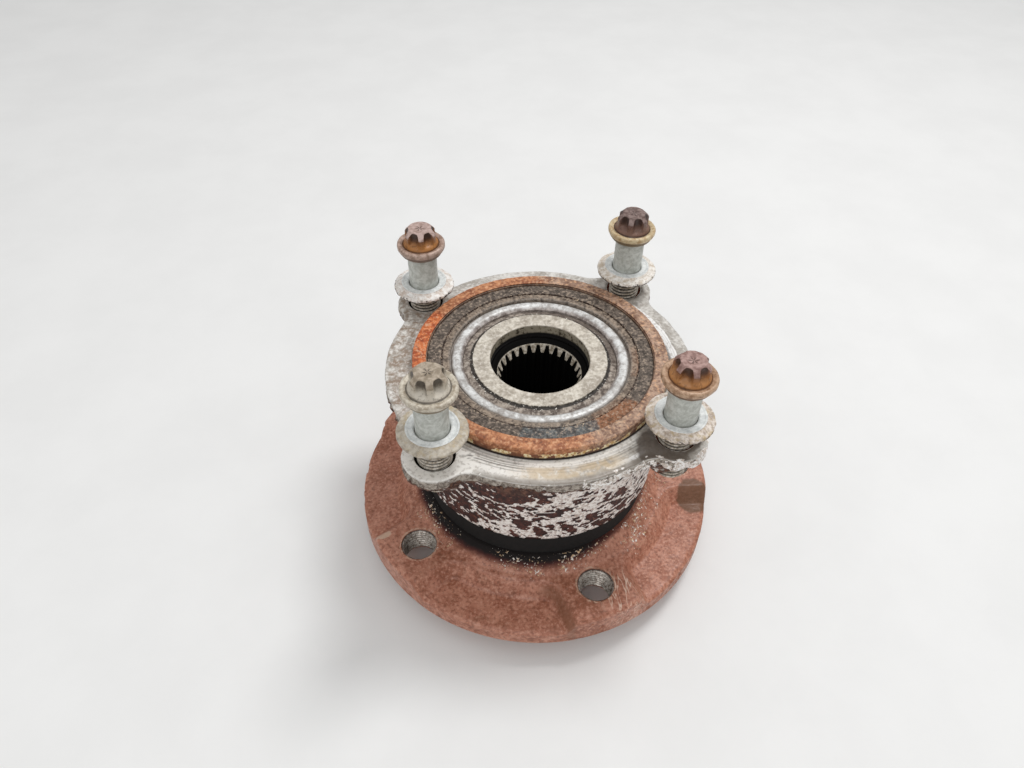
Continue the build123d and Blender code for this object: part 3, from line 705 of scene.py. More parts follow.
def fastener(name, light, dark, pit, metallic, roughness, size, pits=0.4):
    """Two-tone corroded metal of a shank, a thread or a washer's seat."""
    f = Finish(name, metallic)
    fine = f.noise(0.9, 4, 0.7)
    colour = f.two_tone(dark, light, size, 5, 0.65, 0.4)
    colour = f.coat(colour, pit, f.step(fine, 0.42, 0.28), pits)
    # Rust, and painted shade in the thread valleys.
    colour = f.coat(colour, pit, f.attribute("rust"), 0.9)
    f.bump(fine, 0.08)
    f.bump(f.noise(1.2, 4, 0.6), 0.06)
    return f.done(colour, roughness)


def bolt_head(name, light, dark, ridge, deep, low):
    """Corroded head: a dusty cap, and flutes painted dark with shade above that redden toward the foot."""
    f = Finish(name, 0.05)
    top = f.two_tone(dark, light, 2.2, 5, 0.65, 0.4, 0.36, 0.62)
    top = f.speckle(top, 1.1, dark, light, 0.5)
    side = f.mix(f.step(f.attribute("rise"), 0.15, 0.75), low, ridge)
    side = f.speckle(side, 1.2, deep, low, 0.35)
    # Painted shade in the flutes, darker toward the top.
    flute = f.times(f.attribute("flute"), f.patch("rise", 1.5, 0.3, 0.18, 0.72))
    side = f.coat(side, deep, flute, 0.92)
    colour = f.mix(f.patch("cap", 1.0, 0.5, 0.3, 0.6), side, top)
    colour = f.coat(colour, deep, f.attribute("rust"), 0.75)
    f.bump(f.noise(0.9, 4, 0.7), 0.08)
    f.bump(f.noise(1.6, 4, 0.6), 0.1)
    return f.done(colour, f.blend(f.attribute("cap"), 0.36, 0.55))


def bolt_collar(name, light, dark, under):
    """The collar under a head: lighter on its rim, darker beneath with dirt and painted shade."""
    f = Finish(name, 0.05)
    colour = f.two_tone(dark, light, 2.0, 5, 0.65, 0.4, 0.34, 0.62)
    colour = f.speckle(colour, 1.2, dark, light, 0.5)
    # Dirt and painted shade beneath the collar's widest point.
    beneath = f.patch("beneath", 1.8, 0.5, 0.35, 0.7)
    colour = f.coat(colour, under, beneath, 0.85)
    f.bump(f.noise(0.9, 4, 0.7), 0.08)
    f.bump(f.noise(1.6, 4, 0.6), 0.1)
    return f.done(colour, f.blend(beneath, 0.4, 0.6))


def washer_coat(name, light, dark, stain, chips):
    """Chalky zinc flake on a washer, with stains and dark chips at its edge."""
    f = Finish(name)
    fine = f.noise(0.95, 4, 0.7)
    colour = f.two_tone(dark, light, 1.8, 5, 0.66, 0.0, 0.36, 0.62)
    colour = f.coat(colour, stain, f.step(f.noise(3.4, 4, 0.6, 0.8), 0.50, 0.66), 0.7)
    colour = f.speckle(colour, 1.2, stain, light, 0.5)
    colour = f.coat(colour, (104, 88, 74), f.step(fine, 0.38, 0.27), 0.7)
    colour = f.coat(colour, (60, 46, 36), f.patch("chip", 1.3, 1.4, 0.62, 0.74, 3.0), chips)
    f.bump(fine, 0.12)
    f.bump(f.noise(1.4, 4, 0.6), 0.15)
    return f.done(colour, 0.6)


def plain_finish(name, light, dark, metallic, roughness, size=3.0, relief=0.03):
    """A quiet two-tone finish for the inner pieces."""
    f = Finish(name, metallic)
    colour = f.two_tone(dark, light, size, 4, 0.6, 0.0, 0.35, 0.65)
    f.bump(f.noise(size / 4, 3, 0.6), relief)
    return f.done(colour, roughness)


FINISHES = {
    "forging": rusted_forging(),
    "recess": black_recess(),
    "barrel": flaking_barrel(),
    "face": machined_face(),
    "spigot": rusted_spigot(),
    "encoder": encoder_face(),
    "slinger": slinger_face(),
    "inner": inner_race_face(),
    "spline": spline_steel(),
    "shank": fastener("bolt_shank_zinc", (206, 208, 202), (176, 178, 170), (142, 134, 120), 0.0, 0.5, 1.8),
    "thread": fastener("bolt_thread_steel", (222, 214, 202), (156, 144, 126), (20, 14, 10), 0.3, 0.35, 1.0),
    "insert": fastener("lug_thread_steel", (214, 206, 196), (124, 110, 98), (8, 5, 4), 0.4, 0.35, 1.0),
    "washer_seat": fastener("washer_seat_zinc", (236, 238, 236), (206, 209, 208), (158, 154, 146), 0.0, 0.45, 2.0),
}

# Each bolt rusted in its own way. A head has a light and a dark for its cap, then ridge, deep and low.
BOLT_COLOURS = {
    "rear_left": {
        "head": ((194, 170, 162), (158, 132, 122), (122, 82, 58), (48, 26, 14), (176, 118, 62)),
        "collar": ((192, 166, 152), (140, 114, 98), (104, 84, 70)),
        "washer": ((250, 247, 243), (220, 212, 204), (206, 186, 170), 1.0),
    },
    "rear_right": {
        "head": ((142, 122, 116), (98, 76, 70), (112, 84, 76), (44, 20, 14), (128, 96, 82)),
        "collar": ((216, 198, 162), (172, 140, 98), (96, 78, 52)),
        "washer": ((246, 241, 234), (210, 200, 188), (198, 180, 156), 0.9),
    },
    "front_left": {
        "head": ((186, 172, 154), (142, 128, 110), (184, 172, 154), (52, 40, 28), (212, 204, 190)),
        "collar": ((214, 206, 190), (162, 148, 128), (118, 104, 80)),
        "washer": ((204, 196, 182), (168, 156, 140), (190, 172, 138), 0.3),
    },
    "front_right": {
        "head": ((176, 144, 136), (132, 100, 92), (126, 80, 52), (58, 30, 16), (184, 128, 76)),
        "collar": ((196, 164, 136), (142, 106, 78), (96, 66, 42)),
        "washer": ((236, 226, 216), (174, 156, 140), (192, 170, 130), 0.8),
    },
}
for bolt_name, colours in BOLT_COLOURS.items():
    FINISHES["head_" + bolt_name] = bolt_head("bolt_head_" + bolt_name, *colours["head"])
    FINISHES["collar_" + bolt_name] = bolt_collar("bolt_collar_" + bolt_name, *colours["collar"])
    FINISHES["washer_" + bolt_name] = washer_coat("washer_" + bolt_name, *colours["washer"])


# ---------------------------------------------------------------------------------- hub flange
SPLINE_TIP_WIDTH = 0.75
SPLINE_ROOT_WIDTH = 2.6
NOSE_CHAMFER_WIDTH = 1.4
NOSE_CHAMFER_DEPTH = 1.7
SPLINE_LEAD_END = 5.6
LUG_THREAD_DEPTH = 0.85
# Marks of use on the flange, and the middle of a painted shade on a pocket's slope: x and y of each.
SHADED_SLOPE_AT = (4, -63)
OLIVE_PATCH_AT = (65, -19)
SCRATCHES_AT = (25, -62)
CHIP_AT = (-64.5, -26.5)
# Salt crumbs: azimuth, full and fading half-width in degrees, outer and inner radius, amount.
CRUMB_CLUSTERS = (
    (-98, 14, 34, 58, 50, 1.0),
    (-72, 16, 30, 52, 48, 1.0),
    (-32, 18, 36, 61, 53, 1.0),
    (-152, 14, 26, 60, 54, 0.9),
)


def lug_angle(k):
    return LUG_PHASE + k * 2 * math.pi / LUG_COUNT


def pocket_depth(r, phi):
    """How far into a pocket between two lug pads each point lies: 0 on a pad, 1 on the floor."""
    pitch = 2 * math.pi / LUG_COUNT
    from_pad = np.abs((phi - LUG_PHASE + pitch / 2) % pitch - pitch / 2)
    side = r * np.sin(from_pad) - PAD_WIDTH / 2
    side = np.where(from_pad > math.pi / 2, r, side)
    inward = r - POCKET_R
    a, b = POCKET_CORNER_R - side, POCKET_CORNER_R - inward
    corner = POCKET_CORNER_R - np.hypot(np.maximum(a, 0), np.maximum(b, 0))
    inset = np.where((a > 0) & (b > 0), corner, np.minimum(side, inward))
    blended = smooth(-0.4, POCKET_SIDE_RUN + 0.4, inset)
    return blended * 0.35 + 0.65 * np.clip(inset / POCKET_SIDE_RUN, 0, 1)


def hub_shape(r, z, phi):
    """Sinks the pockets and stands the spline teeth on the bore."""
    share = np.clip((z - FLANGE_FRONT_Z) / (PAD_TOP_Z - FLANGE_FRONT_Z), 0, 1)
    on_flange = (r > LAND_R) & (z > FLANGE_FRONT_Z)
    sink = pocket_depth(np.maximum(r, POCKET_R), phi) * smooth(POCKET_R - 1, POCKET_R, r)
    z = np.where(on_flange, z - sink * share * (PAD_TOP_Z - WEB_Z), z)
    pitch = 2 * math.pi / SPLINE_TEETH
    from_tooth = np.abs((phi - SPLINE_PHASE + pitch / 2) % pitch - pitch / 2)
    tip_half = SPLINE_TIP_WIDTH / 2 / SPLINE_TIP_R
    root_half = SPLINE_ROOT_WIDTH / 2 / SPLINE_ROOT_R
    flank = np.clip((from_tooth - tip_half) / (root_half - tip_half), 0, 1)
    tooth_r = SPLINE_TIP_R + (SPLINE_ROOT_R - SPLINE_TIP_R) * flank
    in_bore = (r < SPLINE_ROOT_R - 0.01) & (z > NUT_SEAT_Z + 0.5)
    return np.where(in_bore, np.maximum(r, tooth_r), r), z


def hub_masks(p, n):
    r, phi, z = polar(p)
    above = z > FLANGE_FRONT_Z + 1
    depth = pocket_depth(np.maximum(r, POCKET_R), phi)
    # Slopes between pads and pockets, which carry a painted shade near one lug hole.
    slope = smooth(0.04, 0.3, depth) * smooth(0.97, 0.7, depth) * smooth(POCKET_R - 1, POCKET_R + 1, r)
    clusters = highest(
        around(phi, azimuth, full, edge) * smooth(outer, inner, r) * amount
        for azimuth, full, edge, outer, inner, amount in CRUMB_CLUSTERS
    )
    clumps = smooth(0.34, 0.60, fractal(p, 6, 3, 9))
    crumb = np.maximum(clusters * (0.55 + 0.5 * clumps), smooth(70, 52, r) * 0.35 * clumps)
    rims = highest(rim_wear(p, *on_circle(LUG_CIRCLE_R, lug_angle(k))) for k in range(LUG_COUNT))
    x, y = p[..., 0] / MM, p[..., 1] / MM
    chip = smooth(3.4, 1.6, np.hypot((x - CHIP_AT[0]) * 0.7, y - CHIP_AT[1])) * 0.85
    # Painted shadow on the skirt: black under the barrel's left half, fading to bare rust at the right.
    shadow_side = around(phi, -135, 40, 95)
    soot = smooth(47.5 + 5.5 * shadow_side, 46.4, r) * (0.45 + 0.65 * shadow_side) * smooth(28, 34, r)
    # The lit ends of the spline teeth, on the lead-in cone.
    cone_z = (NOSE_Z - SPLINE_LEAD_END, NOSE_Z - NOSE_CHAMFER_DEPTH)
    cone_r = np.interp(z, cone_z, (SPLINE_TIP_R, SPLINE_ROOT_R))
    lit_end = smooth(NOSE_Z - 1.3, NOSE_Z - 1.8, z) * smooth(NOSE_Z - 5.6, NOSE_Z - 4.6, z)
    return {
        "crumb": crumb * smooth(LAND_R - 2.5, LAND_R + 0.5, r),
        "slope": slope * smooth(14, 9, from_line(p, *SHADED_SLOPE_AT)) * above,
        "olive": smooth(10, 4, from_line(p, *OLIVE_PATCH_AT)) * above,
        "worn": np.maximum(rims, chip) * above,
        "soot": np.clip(soot, 0, 1),
        "scratch": smooth(12, 5, from_line(p, *SCRATCHES_AT)),
        "tooth": smooth(0.32, 0.1, np.abs(r - cone_r)) * lit_end,
    }


def rim_wear(p, x, y):
    """How worn the flange is round a lug hole at x and y."""
    return smooth(9.2, 7.0, from_line(p, x, y)) * 0.7


def hub_relief(p, n, values):
    r, _, z = polar(p)
    cast = (fractal(p, 16, 2, 3) - 0.5) * 0.35
    grain = (fractal(p, 2.2, 3, 4) - 0.5) * 0.16
    rough = smooth(LAND_R - 2, LAND_R, r) * smooth(FLANGE_FRONT_Z, FLANGE_FRONT_Z + 2, z)
    chips = np.minimum(smooth(0.36, 0.26, fractal(p, 4, 3, 6)) * -0.5, 0)
    edge = smooth(FLANGE_R - 2.5, FLANGE_R - 0.5, r)
    return rough * (cast * (1 - edge) + grain + edge * (chips - 0.12))


def make_hub():
    fine, coarse = 0.75, 2.5
    corners = [
        (NUT_RECESS_R, 0, 0.4, "forging", coarse),
        (WHEEL_PILOT_R, 0, 2.0, "forging", coarse),
        (WHEEL_PILOT_R, WHEEL_PILOT_TOP_Z, 0.4, "forging", coarse),
        (DISC_PILOT_R, WHEEL_PILOT_TOP_Z, 0.8, "forging", coarse),
        (DISC_PILOT_R, FLANGE_FRONT_Z, 0.4, "forging", coarse),
        (FLANGE_R, FLANGE_FRONT_Z, 0.8, "forging", fine),
        (FLANGE_R, PAD_TOP_Z, 2.0, "forging", fine),
        (LAND_FOOT_R, PAD_TOP_Z, 3.0, "forging", fine),
        (LAND_R, LAND_Z, 1.5, "forging", fine),
        (NECK_R, LAND_Z, 3.5, "recess", coarse),
        (NECK_R, RIM_Z + 3.6, 0.5, "recess", coarse),
        (HUB_SHOULDER_R, RIM_Z + 3.7, 0, "recess", coarse),
        (HUB_SHOULDER_R, 52.0, 0, "recess", coarse),
        (HUB_RACE_R, 52.1, 0, "recess", coarse),
        (HUB_RACE_R, INNER_FOOT_Z, 0, "recess", coarse),
        (SPLINE_SEAT_R, INNER_FOOT_Z + 0.1, 0, "recess", coarse),
        (SPLINE_SEAT_R, NOSE_Z, 0.5, "spline", 1.0),
        (SPLINE_ROOT_R + NOSE_CHAMFER_WIDTH, NOSE_Z, 0.2, "spline", 0.6),
        (SPLINE_ROOT_R, NOSE_Z - NOSE_CHAMFER_DEPTH, 0, "spline", 0.5),
        (SPLINE_TIP_R, NOSE_Z - SPLINE_LEAD_END, 0, "spline", 4.0),
        (SPLINE_TIP_R, NUT_SEAT_Z, 0.3, "recess", coarse),
        (NUT_RECESS_R, NUT_SEAT_Z, 0.8, "recess", coarse),
    ]
    hub = turned("hub_flange_rusted", corners, SPLINE_TEETH * 32, FINISHES, shape=hub_shape,
                 relief=hub_relief, masks=hub_masks, phase=SPLINE_PHASE)
    holes = [
        hole_cutter(on_circle(LUG_CIRCLE_R, lug_angle(k)), LUG_THREAD_R - 0.03, PAD_TOP_Z, 5.0, 0.06)
        for k in range(LUG_COUNT)
    ]
    screw = mounts["disc_screw_hole"]
    screw_at = (screw["pos_m"][0] / MM, screw["pos_m"][1] / MM)
    holes.append(hole_cutter(screw_at, screw["dims"]["r_mm"], WEB_Z, 5.0, 0.4))
    drill(hub, holes)
    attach(hub, "hub")
    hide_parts("hub_flange")
    for k in range(LUG_COUNT):
        insert = thread_liner(f"lug_thread_{k + 1}", on_circle(LUG_CIRCLE_R, lug_angle(k)),
                              FLANGE_FRONT_Z + 0.4, PAD_TOP_Z - 0.25)
        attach(insert, "hub")


def hole_cutter(centre, radius, top_z, above, chamfer):
    """A closed cutter for a countersunk through hole whose mouth is at top_z."""
    outline = [
        (0.01, top_z - 20),
        (radius, top_z - 20),
        (radius, top_z - chamfer),
        (radius + chamfer, top_z),
        (radius + chamfer, top_z + above),
        (0.01, top_z + above),
    ]
    corners = [(r, z, 0, "insert", 50) for r, z in outline]
    return turned("cutter", corners, 96, FINISHES, centre=centre, closed=False)


def thread_wave(z, phi, depth):
    """Depth below the crest of a right-hand thread, flat at crest and root."""
    turn = (z / THREAD_PITCH - phi / (2 * math.pi)) % 1.0
    return depth * np.clip(np.abs(2 * turn - 1) * 1.35 - 0.12, 0, 1)


def thread_liner(name, centre, low_z, high_z):
    """The inner thread of a lug hole, as a thin closed sleeve let into its wall."""
    tip_r = LUG_THREAD_R - LUG_THREAD_DEPTH

    def shape(r, z, phi):
        fade = smooth(low_z, low_z + 0.8, z) * (0.5 + 0.5 * smooth(high_z, high_z - 0.8, z))
        crest = LUG_THREAD_R - LUG_THREAD_DEPTH * fade + thread_wave(z, phi, LUG_THREAD_DEPTH) * fade
        return np.where(r < LUG_THREAD_R, crest, r), z

    def masks(p, n):
        valley_r = LUG_THREAD_R - LUG_THREAD_DEPTH * 0.6
        # Painted shade in the thread's valleys.
        return {"rust": smooth(valley_r, LUG_THREAD_R - 0.1, from_line(p, *centre))}

    corners = [
        (tip_r, low_z, 0, "insert", 50),
        (LUG_THREAD_R + 0.05, low_z, 0, "insert", 50),
        (LUG_THREAD_R + 0.05, high_z, 0, "insert", 50),
        (tip_r, high_z, 0, "insert", THREAD_PITCH / 8),
    ]
    return turned(name, corners, 72, FINISHES, shape=shape, masks=masks, centre=centre, sharp=60)


# ---------------------------------------------------------------------------------- outer ring
# Turned grooves on the mount face: radius and strength.
FACE_GROOVES = ((48.2, 0.5), (49.4, 1.0), (50.3, 0.8), (51.4, 1.0), (52.6, 0.6))
# Grime round the four bolts, and the painted shadow, with streaks, beside the front right one.
EAR_GRIME = (0.75, 0.45, 0.35, 1.0)
SHADOW_AND_STREAKS_AT = (35, -46)
BOLT_HOLE_R = 6.06


def ear_outline(phi):
    """The radius of the mount flange at an angle: round stretches, blends and four ears."""
    psi = np.abs((phi + math.pi / 2) % (math.pi / 2) - math.pi / 4)
    blend_c, reach = MOUNT_R + EAR_BLEND_R, EAR_R + EAR_BLEND_R
    beta = math.acos((blend_c**2 + BOLT_CIRCLE_R**2 - reach**2) / (2 * blend_c * BOLT_CIRCLE_R))
    tangent_x = BOLT_CIRCLE_R + EAR_R * (blend_c * math.cos(beta) - BOLT_CIRCLE_R) / reach
    tangent_y = EAR_R * blend_c * math.sin(beta) / reach
    gamma = math.atan2(tangent_y, tangent_x)
    ear_half = np.sqrt(np.maximum(EAR_R**2 - (BOLT_CIRCLE_R * np.sin(psi)) ** 2, 0))
    blend_half = np.sqrt(np.maximum(EAR_BLEND_R**2 - (blend_c * np.sin(psi - beta)) ** 2, 0))
    ear = BOLT_CIRCLE_R * np.cos(psi) + ear_half
    blend = blend_c * np.cos(psi - beta) - blend_half
    return np.where(psi < gamma, ear, np.where(psi < beta, blend, MOUNT_R))


def ring_shape(r, z, phi):
    """Draws the mount flange out to its ears, with a boss under each ear."""
    inner = MOUNT_R - MOUNT_UNDERSIDE - 0.3
    face_r = 50.0
    grow = ear_outline(phi) - MOUNT_R
    on_flange = (z > UNDERSIDE_Z - 0.05) & (r > inner)
    share = np.clip((r - inner) / 0.9, 0, 1)
    top = (z > MOUNT_FACE_Z - 0.9) & (r < MOUNT_R - 0.81)
    top_share = np.clip((r - face_r) / (MOUNT_R - 0.8 - face_r), 0, 1)
    new_r = np.where(on_flange, r + grow * np.where(top, top_share, share), r)
    new_r = np.where(top & (r > face_r), r + grow * top_share, new_r)
    x, y = new_r * np.cos(phi), new_r * np.sin(phi)
    boss = highest(
        smooth(EAR_BOSS_R + 0.6, EAR_BOSS_R - 1.0, np.hypot(x - ear_x, y - ear_y))
        for ear_x, ear_y in (on_circle(BOLT_CIRCLE_R, angle) for angle in EAR_ANGLES)
    )
    under = (z < UNDERSIDE_Z + 0.3) & (z > UNDERSIDE_Z - GUSSET_R) & (r > BARREL_R + 0.2)
    new_z = np.where(under, z - 3.0 * boss * smooth(BARREL_R, BARREL_R + 3, r), z)
    return new_r, new_z


def flake_field(p):
    """Where dead coating still clings to the barrel: 1 inside a flake, 0 outside."""
    _, phi, z = polar(p)
    along = BARREL_R * phi
    slant = np.stack((along * 0.62 + 0.35 * (z - 60), 0 * z, z * 1.15), axis=-1) * MM
    web = 1 - np.abs(2 * fractal(slant, 3.4, 3, 21, 0.6) - 1) * 2.2
    pattern = 0.45 * web + 0.55 * fractal(slant * 1.2, 1.7, 3, 22, 0.62)
    place = fractal(p, 11, 3, 23)
    cover = 0.24 + 0.30 * around(phi, -62, 20, 75) + (place - 0.5) * 0.55
    level = np.quantile(pattern, np.linspace(0, 1, 101))
    threshold = np.interp(1 - np.clip(cover, 0.05, 0.8), np.linspace(0, 1, 101), level)
    return smooth(-0.02, 0.02, pattern - threshold)


def wall_masks(p, outline, patch):
    """The flange's wall, its eaten lower edge and the salt crust that hangs on it."""
    r, phi, z = polar(p)
    ragged = fractal(p, 2.2, 3, 42)
    outside = smooth(44.5, 46.0, r)
    on_ear = smooth(MOUNT_R + 0.5, MOUNT_R + 6, outline)
    wall = smooth(MOUNT_FACE_Z - 0.2, MOUNT_FACE_Z - 1.1, z) * smooth(outline - 1.4, outline - 0.3, r)
    under = smooth(MOUNT_FACE_Z - 2.8, MOUNT_FACE_Z - MOUNT_WALL - 0.8, z) * outside
    rust = under * (0.72 + 0.5 * smooth(0.62, 0.40, patch)) + 0.30 * wall
    salty = around(phi, -55, 14, 34)
    amount = salty * 0.75 + around(phi, -45, 16, 40) * on_ear * 0.3 + 0.16
    crust = smooth(0.58, 0.46, patch * 0.35 + ragged * 0.65) * amount
    crust = crust * smooth(MOUNT_FACE_Z - 0.3, MOUNT_FACE_Z - 1.5, z)
    rim_crust = smooth(0.56, 0.66, ragged) * smooth(outline - 2.4, outline - 0.6, r) * (0.45 + 0.5 * salty)
    crust = np.maximum(crust * 1.3, rim_crust) * smooth(UNDERSIDE_Z - 5.5, UNDERSIDE_Z - 2.0, z) * outside
    return wall, rust, crust


def face_masks(p, outline, top):
    """The flange's face: turned grooves near the spigot, stains, painted light and highlights, and grime by the
    bolts with a painted shadow beside one.
    """
    r, phi, _ = polar(p)
    grooves = highest(smooth(0.34, 0.12, np.abs(r - at_r)) * strength for at_r, strength in FACE_GROOVES)
    kept = np.maximum(around(phi, -119, 10, 22), 0.6 * around(phi, -62, 4, 12))
    kept = np.maximum(kept, 0.35 * smooth(0.45, 0.6, value_noise(p, 22, 53)))
    # Painted light on the front left and front of the face.
    bright = np.maximum(around(phi, -122, 22, 40), around(phi, -88, 26, 40) * smooth(50.8, 50.0, r))
    highlight_streak = around(phi, -66, 5, 12) * smooth(1.2, 0.5, np.abs(r - 54.6))
    near_bolts = highest(
        smooth(11.5, 6.5, from_line(p, *on_circle(BOLT_CIRCLE_R, angle))) * strength
        for angle, strength in zip(EAR_ANGLES, EAR_GRIME)
    )
    inner_side = around(phi, -8, 8, 26) * smooth(52, 48, r) * 0.9
    # Painted shadow, with streaks, that the front right bolt casts beside it.
    run = smooth(13, 6, from_line(p, *SHADOW_AND_STREAKS_AT))
    return {
        "groove": grooves * top * kept,
        "stain": top * around(phi, -86, 12, 26) * smooth(49.8, 51.0, r) * smooth(56.5, 54.5, r),
        "bright": bright * top,
        "gloss": top * np.maximum(around(phi, 14, 18, 36) * smooth(54, 50.5, r), highlight_streak),
        "shade": top * around(phi, -84, 26, 48) * smooth(52.5, 57.5, r - (outline - MOUNT_R)) * 0.9,
        "mottle": top * around(phi, 180, 40, 70) * 0.9,
        "grime": highest((near_bolts, inner_side, run)) * top,
    }


def ring_masks(p, n):
    r, phi, z = polar(p)
    outline = ear_outline(phi)
    patch = fractal(p, 9, 3, 41)
    outside = smooth(44.5, 46.0, r)
    wall, rust, crust = wall_masks(p, outline, patch)

    # Bare maroon band under the wall, widest at the left, flakes below it.
    left = around(phi, -135, 30, 62)
    bare_foot = UNDERSIDE_Z - 2.5 - 7.5 * left + (patch - 0.5) * 7
    bare_foot = bare_foot + 5.0 * around(phi, -55, 10, 30)
    bare = smooth(bare_foot - 1.4, bare_foot + 1.0, z)
    flake = flake_field(p) * smooth(RIM_Z + 0.3, RIM_Z + 1.6, z) * (1 - bare)
    # Painted shade: at the barrel's lower rim by the gap, and in the corner at the spigot's foot.
    soot = smooth(RIM_Z + 2.2, RIM_Z + 0.2, z) * smooth(46, 47, r)
    foot_line = smooth(0.9, 0.35, np.abs(z - (MOUNT_FACE_Z + 0.35)))
    foot_line = foot_line * smooth(SPIGOT_R + 0.35, SPIGOT_R + 0.05, r) * outside

    values = face_masks(p, outline, smooth(MOUNT_FACE_Z - 0.6, MOUNT_FACE_Z - 0.2, z) * outside)
    lower = smooth(RING_END_Z - 1.2, RING_END_Z - 3.0, z)
    lower = lower * smooth(MOUNT_FACE_Z + 0.4, MOUNT_FACE_Z + 1.2, z) * smooth(SPIGOT_R - 1, SPIGOT_R - 0.2, r)
    # The lower outer wall of the spigot, where its shade is painted.
    low = smooth(RING_END_Z - 0.8, RING_END_Z - 3.4, z) * smooth(SPIGOT_R - 0.8, SPIGOT_R - 0.2, r)
    values.update({
        "flake": flake,
        "crust": crust * (1 - flake * 0.5),
        "rust": rust * (1 - values["groove"]),
        "wall": wall,
        "bare": bare,
        "soot": np.clip(np.maximum(soot, foot_line), 0, 1),
        "crumb": smooth(0.40, 0.58, fractal(p, 2.2, 3, 44)) * lower * around(phi, -85, 60, 85),
        "low": low * outside,
        "dull": around(phi, 0, 50, 110),
        "vivid": around(phi, 172, 16, 40),
    })
    return values


def ring_relief(p, n, values):
    r, phi, z = polar(p)
    outline = ear_outline(phi)
    outside = smooth(44.5, 46.0, r)
    below_face = smooth(MOUNT_FACE_Z + 0.3, MOUNT_FACE_Z, z)
    pits = (fractal(p, 2.6, 3, 51) - 0.62) * 0.16
    flakes = values["flake"] * 0.22 + (fractal(p, 0.9, 2, 52) - 0.5) * 0.08
    barrel = smooth(UNDERSIDE_Z + 0.5, UNDERSIDE_Z - 2, z) * outside * (pits + flakes)
    grooves = -0.14 * values["groove"] * smooth(MOUNT_FACE_Z - 0.6, MOUNT_FACE_Z - 0.1, z) * below_face
    wall = smooth(MOUNT_FACE_Z - 0.3, MOUNT_FACE_Z - 2.0, z) * smooth(UNDERSIDE_Z - 2, UNDERSIDE_Z, z) * outside
    bites = smooth(0.52, 0.36, fractal(p, 4.2, 3, 54)) * -1.0
    eaten = wall * (bites + (fractal(p, 1.5, 3, 57) - 0.7) * 0.5 + values["crust"] * 0.35)
    edge_low = smooth(MOUNT_FACE_Z - 3.2, MOUNT_FACE_Z - 6.0, z) * wall
    eaten = eaten - edge_low * smooth(0.45, 0.62, fractal(p, 3.0, 3, 58)) * 0.8
    spigot = smooth(MOUNT_FACE_Z + 0.4, MOUNT_FACE_Z + 1.2, z) * outside
    scale = spigot * ((fractal(p, 1.8, 3, 55) - 0.6) * 0.4 + values["crumb"] * 0.25)
    worn = (fractal(p, 5, 3, 56) - 0.78) * 0.6 * smooth(outline - 1.5, outline - 0.3, r)
    worn = worn * smooth(MOUNT_FACE_Z - 1.6, MOUNT_FACE_Z - 0.2, z) * below_face
    return barrel + grooves + np.clip(eaten, -1.6, 0.05) + np.minimum(scale, 0.04) + worn


def make_outer_ring():
    fine, coarse = 0.42, 3.0
    arc = np.radians(np.linspace(90, 0, 13))
    gusset = [
        (BARREL_R + GUSSET_R * (1 - math.cos(a)), UNDERSIDE_Z - GUSSET_R * (1 - math.sin(a)), 0, "face", fine)
        for a in arc[:-1]
    ]
    corners = [
        (SEAL_BORE_R, RING_END_Z - 9.6, 0, "recess", coarse),
        (SEAL_BORE_R, RING_END_Z, 0.3, "spigot", fine),
        (SPIGOT_R, RING_END_Z, 0.7, "spigot", 0.35),
        (SPIGOT_R, MOUNT_FACE_Z, 0, "face", fine),
        (MOUNT_R, MOUNT_FACE_Z, 0.8, "face", fine),
        (MOUNT_R, MOUNT_FACE_Z - MOUNT_WALL, 0.8, "face", fine),
        *gusset,
        (BARREL_R, UNDERSIDE_Z - GUSSET_R, 0, "barrel", fine),
        (BARREL_R, RIM_Z, 1.2, "recess", 0.6),
        (WHEEL_SEAL_BORE_R, RIM_Z, 0.3, "recess", coarse),
        (WHEEL_SEAL_BORE_R, RIM_Z + 3.6, 0, "recess", coarse),
        (RING_RACE_R, RIM_Z + 3.7, 0, "recess", coarse),
        (RING_RACE_R, 52.0, 0, "recess", coarse),
        (RING_SHOULDER_R, 55.5, 0, "recess", coarse),
        (RING_SHOULDER_R, 69.0, 0, "recess", coarse),
        (RING_RACE_R, 72.5, 0, "recess", coarse),
        (RING_RACE_R, RING_END_Z - 9.7, 0, "recess", coarse),
    ]
    ring = turned("outer_ring_corroded", corners, 900, FINISHES, shape=ring_shape, relief=ring_relief,
                  masks=ring_masks)
    drill(ring, [
        hole_cutter(on_circle(BOLT_CIRCLE_R, angle), BOLT_HOLE_R, MOUNT_FACE_Z, 3.0, 0.9)
        for angle in EAR_ANGLES
    ])
    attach(ring, "outer_ring")
    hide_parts("outer_ring")


# ------------------------------------------------------------------------- rings inside the spigot
def small_relief(size, depth, seed):
    def relief(p, n, values):
        return (fractal(p, size, 3, seed) - 0.6) * depth
    return relief


